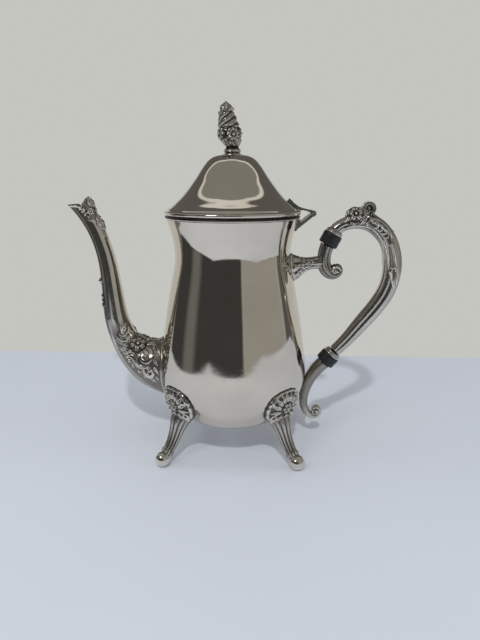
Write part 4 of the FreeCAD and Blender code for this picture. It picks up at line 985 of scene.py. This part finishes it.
def foot(name, node, angle):
    B = Build()
    nr, na = 120, 216
    ring = np.concatenate([KNEE, KNEE[-2:0:-1] * np.array([-1, 1])])
    closed = spline(np.concatenate([ring[-3:], ring, ring[:4]]), 4000)
    pol = np.arctan2(closed[:, 1], closed[:, 0])
    a = (np.arange(na) * 2 * PI / na)[None]
    order = np.argsort(np.mod(pol, 2 * PI))
    rad = np.interp(np.mod(a, 2 * PI), np.mod(pol, 2 * PI)[order], np.hypot(closed[:, 0], closed[:, 1])[order], period=2 * PI)
    q = np.concatenate([np.linspace(0.0, 0.97, nr - 14), np.linspace(0.973, 1.0, 14)])[:, None]
    scal = 1 + 0.022 * (np.abs(np.cos(8 * a)) - 0.6)
    Yk, Uk = q * rad * scal * np.cos(a), q * rad * scal * np.sin(a)
    Q = np.array([56.8, 0, 47.0]) - 24 * f_dir + Yk[..., None] * np.array([0, 1.0, 0]) + Uk[..., None] * u_dir
    low, top = out_to(Q, f_dir, lambda z: body_radius(z) + 0.07), out_to(Q, f_dir, knee_radius)
    thick = np.maximum(np.einsum("ijk,k->ij", top - low, f_dir), 0.15)
    shapes = [((0.0, 5.2), (0.0, 12.4), 2.3, 2.0, 3, 0.0), ((0.0, -4.6), (0.0, -13.2), 2.6, 1.8, 3, 0.0)]
    for sy in (-1, 1):
        shapes += [((sy * 2.6, 4.6), (sy * 5.6, 11.6), 2.3, 2.0, 3, 0.05 * sy), ((sy * 4.8, 3.0), (sy * 10.6, 8.8), 2.4, 2.0, 3, 0.08 * sy),
                   ((sy * 5.6, 0.6), (sy * 14.4, 3.8), 2.4, 1.9, 3, 0.1 * sy), ((sy * 5.4, -2.0), (sy * 14.6, -2.6), 2.3, 1.8, 3, 0.1 * sy),
                   ((sy * 4.2, -4.2), (sy * 11.8, -8.6), 2.5, 1.8, 3, -0.1 * sy), ((sy * 2.0, -6.0), (sy * 6.2, -12.4), 2.0, 1.6, 3, -0.06 * sy)]
    lobes = np.abs(np.cos(8 * a)) ** 0.5
    bord = 1.9 * np.sqrt(np.clip(1 - ((q - 0.92) / 0.062) ** 2, 0, 1)) * (0.45 + 0.55 * lobes)
    flat = bord + 0 * thick
    rise = np.maximum(soften(flat, 1, True) - 1.15, -1.0)
    dome = 1 - 0.72 * np.clip((q - 0.45) / 0.55, 0, 1) ** 1.6 * (1 - 0.6 * step(-Uk, 6.0, 11.0))
    thick = thick * dome + 0.7
    keep = np.clip(thick + rise * np.clip(thick / 1.6, 0, 1), 0.12, None)
    keep = keep * (1 - step(q, 0.975, 1.0)) + 0.10 * step(q, 0.975, 1.0)
    rel = np.clip(0.17 + 0.83 * step(flat, 0.45, 1.55), 0, 1) * (1 - 0.35 * step(q, 0.975, 1.0))
    P = low + keep[..., None] * f_dir
    B.grid(P, wrap_v=True, relief=rel, satin=0.45)
    N = normals(P, False, True)
    N = N * np.where((N * f_dir).sum(-1) < 0, -1.0, 1.0)[..., None]
    ok = (q > 0.02) & (q < 0.90) & (Yk > -99)
    S = (P[ok], N[ok], np.stack([Yk, Uk], -1)[ok])
    for p0, p1, W, H, n, bd in shapes:
        sprig(B, S, p0, p1, 1.0 * W, bd, 2, 0.85)
    for sy in (-1, 1):
        tendril(B, S, [(sy * 4.2, -7.6), (sy * 7.6, -10.6), (sy * 11.2, -9.0), (sy * 12.2, -5.8), (sy * 10.4, -4.2), (sy * 9.0, -5.6)], [0.5, 1.3, 1.4, 1.2, 1.0, 0.8], 0.9, eye=True, satin=0.3)
        tendril(B, S, [(sy * 9.6, 3.0), (sy * 12.6, 5.6), (sy * 11.4, 8.6), (sy * 8.8, 8.4)], [0.5, 1.1, 1.1, 0.8], 0.9, eye=True, satin=0.3)
    pos, nrm = laid(S, [(0.0, 0.6)])
    rosette_boss(B, pos[0] - 0.3 * nrm[0], nrm[0], 5.2, 6, 1.7, 0.5, 0.16, 1)
    # fluted leg
    P, C, T, phi = limb(LEG, 190, 120, last=(0.72, -0.70))
    s = np.linspace(0, 1, 190)[:, None]
    fl = np.abs(np.cos(6 * phi))[None] ** 0.7
    h = (1.15 * fl - 0.65) * (0.5 + 0.5 * step(s, 0.1, 0.3)) * (1 - 0.5 * step(s, 0.82, 1.0))
    X, Y, Z = P[..., 0], P[..., 1], P[..., 2]
    lf = leaf(Y, s * 34 + 0 * Y, (0, 30), (0, 3), 4.6, 1.1, 4)
    front = (np.cos(phi) > 0.1)[None]
    h = h + 0.0 * lf * front
    h = h + 0.9 * np.exp(-((s - 0.90) / 0.035) ** 2)
    h = soften(h, 1, True)
    Q = displaced(P, h, C, True)
    inb = (np.hypot(Q[..., 0], Q[..., 1]) < body_radius(Q[..., 2]) + 0.08) & (Q[..., 2] > 22.6)
    Q[..., 0] = np.where(inb, np.sqrt(np.maximum((body_radius(Q[..., 2]) + 0.08) ** 2 - Q[..., 1] ** 2, 0)), Q[..., 0])
    B.grid(Q, wrap_v=True, cap0=False, cap1=True, relief=0.05 + 0.74 * step(h - soften(h, 14, True), -0.5, 0.30))
    # ball toe with its standing flat
    t = np.linspace(0.05, PI, 44)[:, None]
    b = (np.arange(72) * 2 * PI / 72)[None]
    zb = np.maximum(BALL[1] + BALL[2] * np.cos(t), 0.0) + 0 * b
    P = np.stack([BALL[0] + BALL[2] * np.sin(t) * np.cos(b), BALL[2] * np.sin(t) * np.sin(b), zb], -1)
    B.grid(P, wrap_v=True, cap0=True, cap1=True, relief=np.full((44, 72), 1.0), satin=0.1)
    c, sn = math.cos(math.radians(angle)), math.sin(math.radians(angle))
    return B.done(name, "pot", CAST, [node], move=np.array([[c, -sn, 0], [sn, c, 0], [0, 0, 1]]))


for k, ang in (("front_right", -45), ("rear_right", 45), ("rear_left", 135), ("front_left", -135)):
    foot("leg_" + k, "foot_" + k, ang)

# ============================================================ carried-over solids
for n, m in (("base_disc", SILVER), ("lid_collar", SILVER_IN), ("hinge_lid_leaf", HINGE), ("hinge_body_leaf", HINGE), ("hinge_pin", STEEL),
             ("insulator_pins", STEEL), ("finial_stud", BRASS), ("finial_washer", BRASS), ("finial_nut", BRASS)):
    o = nodes[n]
    o.data.materials.clear()
    o.data.materials.append(m)


# ============================================================ stage, light, camera
def floor():
    k = Mat("floor_paper")
    c = k.noise(3.0, 3.0, 0.5)
    f = k.noise(260.0, 4.0, 0.6)
    k.put(k.bsdf, Base_Color=k.mix(k.span(c, 0.3, 0.7), (0.765, 0.82, 0.925), (0.74, 0.795, 0.905)), Roughness=k.span(f, 0.3, 0.7, 0.55, 0.7),
          Normal=k.bump(f, 0.00005, 0.4))
    me = bpy.data.meshes.new("floor")
    me.from_pydata([(-0.44, -0.68, 0), (0.75, -0.68, 0), (0.75, 0.20, 0), (-0.44, 0.20, 0)], [], [(0, 1, 2, 3)])
    me.materials.append(k.m)
    o = bpy.data.objects.new("floor", me)
    bpy.context.scene.collection.objects.link(o)


floor()


def world():
    wd = bpy.data.worlds.new("studio")
    bpy.context.scene.world = wd
    wd.use_nodes = True
    t = wd.node_tree
    t.nodes.clear()

    def add(kind, **p):
        n = t.nodes.new(kind)
        for k, v in p.items():
            setattr(n, k, v)
        return n

    def con(v, s):
        if isinstance(v, bpy.types.NodeSocket):
            t.links.new(v, s)
        else:
            s.default_value = v

    def mth(op, a, b=0.0, c=None):
        n = add("ShaderNodeMath", operation=op)
        con(a, n.inputs[0])
        con(b, n.inputs[1])
        return n.outputs[0]

    def rng(v, a, b, lo=0.0, hi=1.0):
        n = add("ShaderNodeMapRange", interpolation_type="SMOOTHSTEP")
        con(v, n.inputs[0])
        for i, x in zip((1, 2, 3, 4), (a, b, lo, hi)):
            n.inputs[i].default_value = x
        return n.outputs[0]

    def mix(f, a, b):
        n = add("ShaderNodeMix", data_type="RGBA")
        con(f, n.inputs[0])
        con((*a, 1) if isinstance(a, tuple) else a, n.inputs[6])
        con((*b, 1) if isinstance(b, tuple) else b, n.inputs[7])
        return n.outputs[2]

    g = add("ShaderNodeTexCoord").outputs["Generated"]
    sep = add("ShaderNodeSeparateXYZ")
    con(g, sep.inputs[0])
    x, y, z = sep.outputs
    az = mth("MULTIPLY", mth("ARCTAN2", x, mth("MULTIPLY", y, -1.0)), 180 / PI)   # 0 in front, positive to the right

    def card(lo, hi, soft):
        return mth("MULTIPLY", rng(az, lo - soft, lo + soft), rng(az, hi - soft, hi + soft, 1.0, 0.0))

    # light tent: pale cloth all round, dark cards in front, a grey card to the right, a thin dark card at the right edge
    col = (0.55, 0.55, 0.53)
    col = mix(card(-112, 20, 3.0), col, (0.05, 0.05, 0.05))
    col = mix(card(-80, -60, 6.0), col, (0.16, 0.16, 0.16))
    col = mix(card(21, 95, 1.5), col, (0.34, 0.335, 0.32))
    col = mix(card(97, 116, 4.0), col, (0.10, 0.10, 0.10))
    col = mix(rng(z, -0.60, -0.45), (0.30, 0.30, 0.30), col)
    # overhead: grey panel, then a strip light, then a dark card to the rear
    col = mix(rng(z, 0.50, 0.60), col, (0.25, 0.25, 0.24))
    zs = mth("MAXIMUM", z, 0.06)
    wide = mth("MAXIMUM", mth("SUBTRACT", mth("ABSOLUTE", mth("DIVIDE", x, zs)), 0.3), 0.0)
    run = mth("SUBTRACT", mth("DIVIDE", y, zs), mth("MULTIPLY", wide, 0.55))
    high = rng(z, 0.20, 0.30)
    col = mix(mth("MULTIPLY", rng(run, 0.03, 0.07), rng(z, 0.42, 0.50)), col, (0.72, 0.72, 0.70))
    col = mix(mth("MULTIPLY", rng(run, 0.15, 0.21), high), col, (0.12, 0.115, 0.11))
    lp = add("ShaderNodeLightPath")
    bg_seen, bg = add("ShaderNodeBackground"), add("ShaderNodeBackground")
    bg_seen.inputs["Color"].default_value = (0.555, 0.56, 0.525, 1)
    con(col, bg.inputs["Color"])
    bg.inputs["Strength"].default_value = 1.0
    ms = add("ShaderNodeMixShader")
    con(lp.outputs["Is Camera Ray"], ms.inputs[0])
    con(bg.outputs[0], ms.inputs[1])
    con(bg_seen.outputs[0], ms.inputs[2])
    out = add("ShaderNodeOutputWorld")
    con(ms.outputs[0], out.inputs[0])


world()


def area(name, loc, aim, size, power, color=(1, 0.97, 0.93), glossy=True):
    l = bpy.data.lights.new(name, "AREA")
    l.shape = "RECTANGLE"
    l.size, l.size_y = size
    l.energy = power
    l.color = color
    o = bpy.data.objects.new(name, l)
    bpy.context.scene.collection.objects.link(o)
    o.location = loc
    o.rotation_euler = (Vector(aim) - Vector(loc)).to_track_quat("-Z", "Y").to_euler()
    o.visible_glossy = glossy
    o.visible_camera = False


area("key", (0.02, -0.80, 1.0), (0, 0, 0.08), (0.05, 0.05), 4.6, (1.0, 0.98, 0.95), glossy=False)
area("fill", (0.0, -0.1, 1.5), (0, 0, 0), (1.8, 1.4), 2.4, (0.96, 0.985, 1.0), glossy=False)
area("front", (0.0, -1.25, 0.35), (0, 0, 0.0), (1.8, 0.6), 0.9, (0.965, 0.985, 1.0), glossy=False)
area("rear", (0.0, 1.2, 0.6), (0, 0, 0.0), (1.8, 0.8), 3.4, (0.97, 0.985, 1.0), glossy=False)
area("left", (-1.2, -0.1, 0.40), (0, 0, 0.0), (0.9, 0.7), 3.4, (0.97, 0.985, 1.0), glossy=False)
area("right", (1.3, -0.1, 0.40), (0, 0, 0.0), (0.9, 0.7), 3.4, (0.97, 0.985, 1.0), glossy=False)
area("glint", (-0.55, -0.75, 0.95), (0, 0, 0.12), (0.30, 0.30), 1.7, (1.0, 0.98, 0.95))

PITCH, DIST, HIGH, YAW, OFF = math.radians(15.9), 0.374, 0.2087, math.radians(3.5), math.radians(0.86)
cam = bpy.data.cameras.new("camera")
cam.sensor_width = 36.0
cam.lens = 481.0 / 640.0 * 36.0
cam.clip_start = 0.01
co = bpy.data.objects.new("camera", cam)
bpy.context.scene.collection.objects.link(co)
co.location = (DIST * math.sin(YAW), -DIST * math.cos(YAW), HIGH)
co.rotation_euler = (PI / 2 - PITCH, 0, YAW - OFF)
bpy.context.scene.camera = co
bpy.context.scene.view_settings.view_transform = "Standard"

bpy.context.view_layer.update()
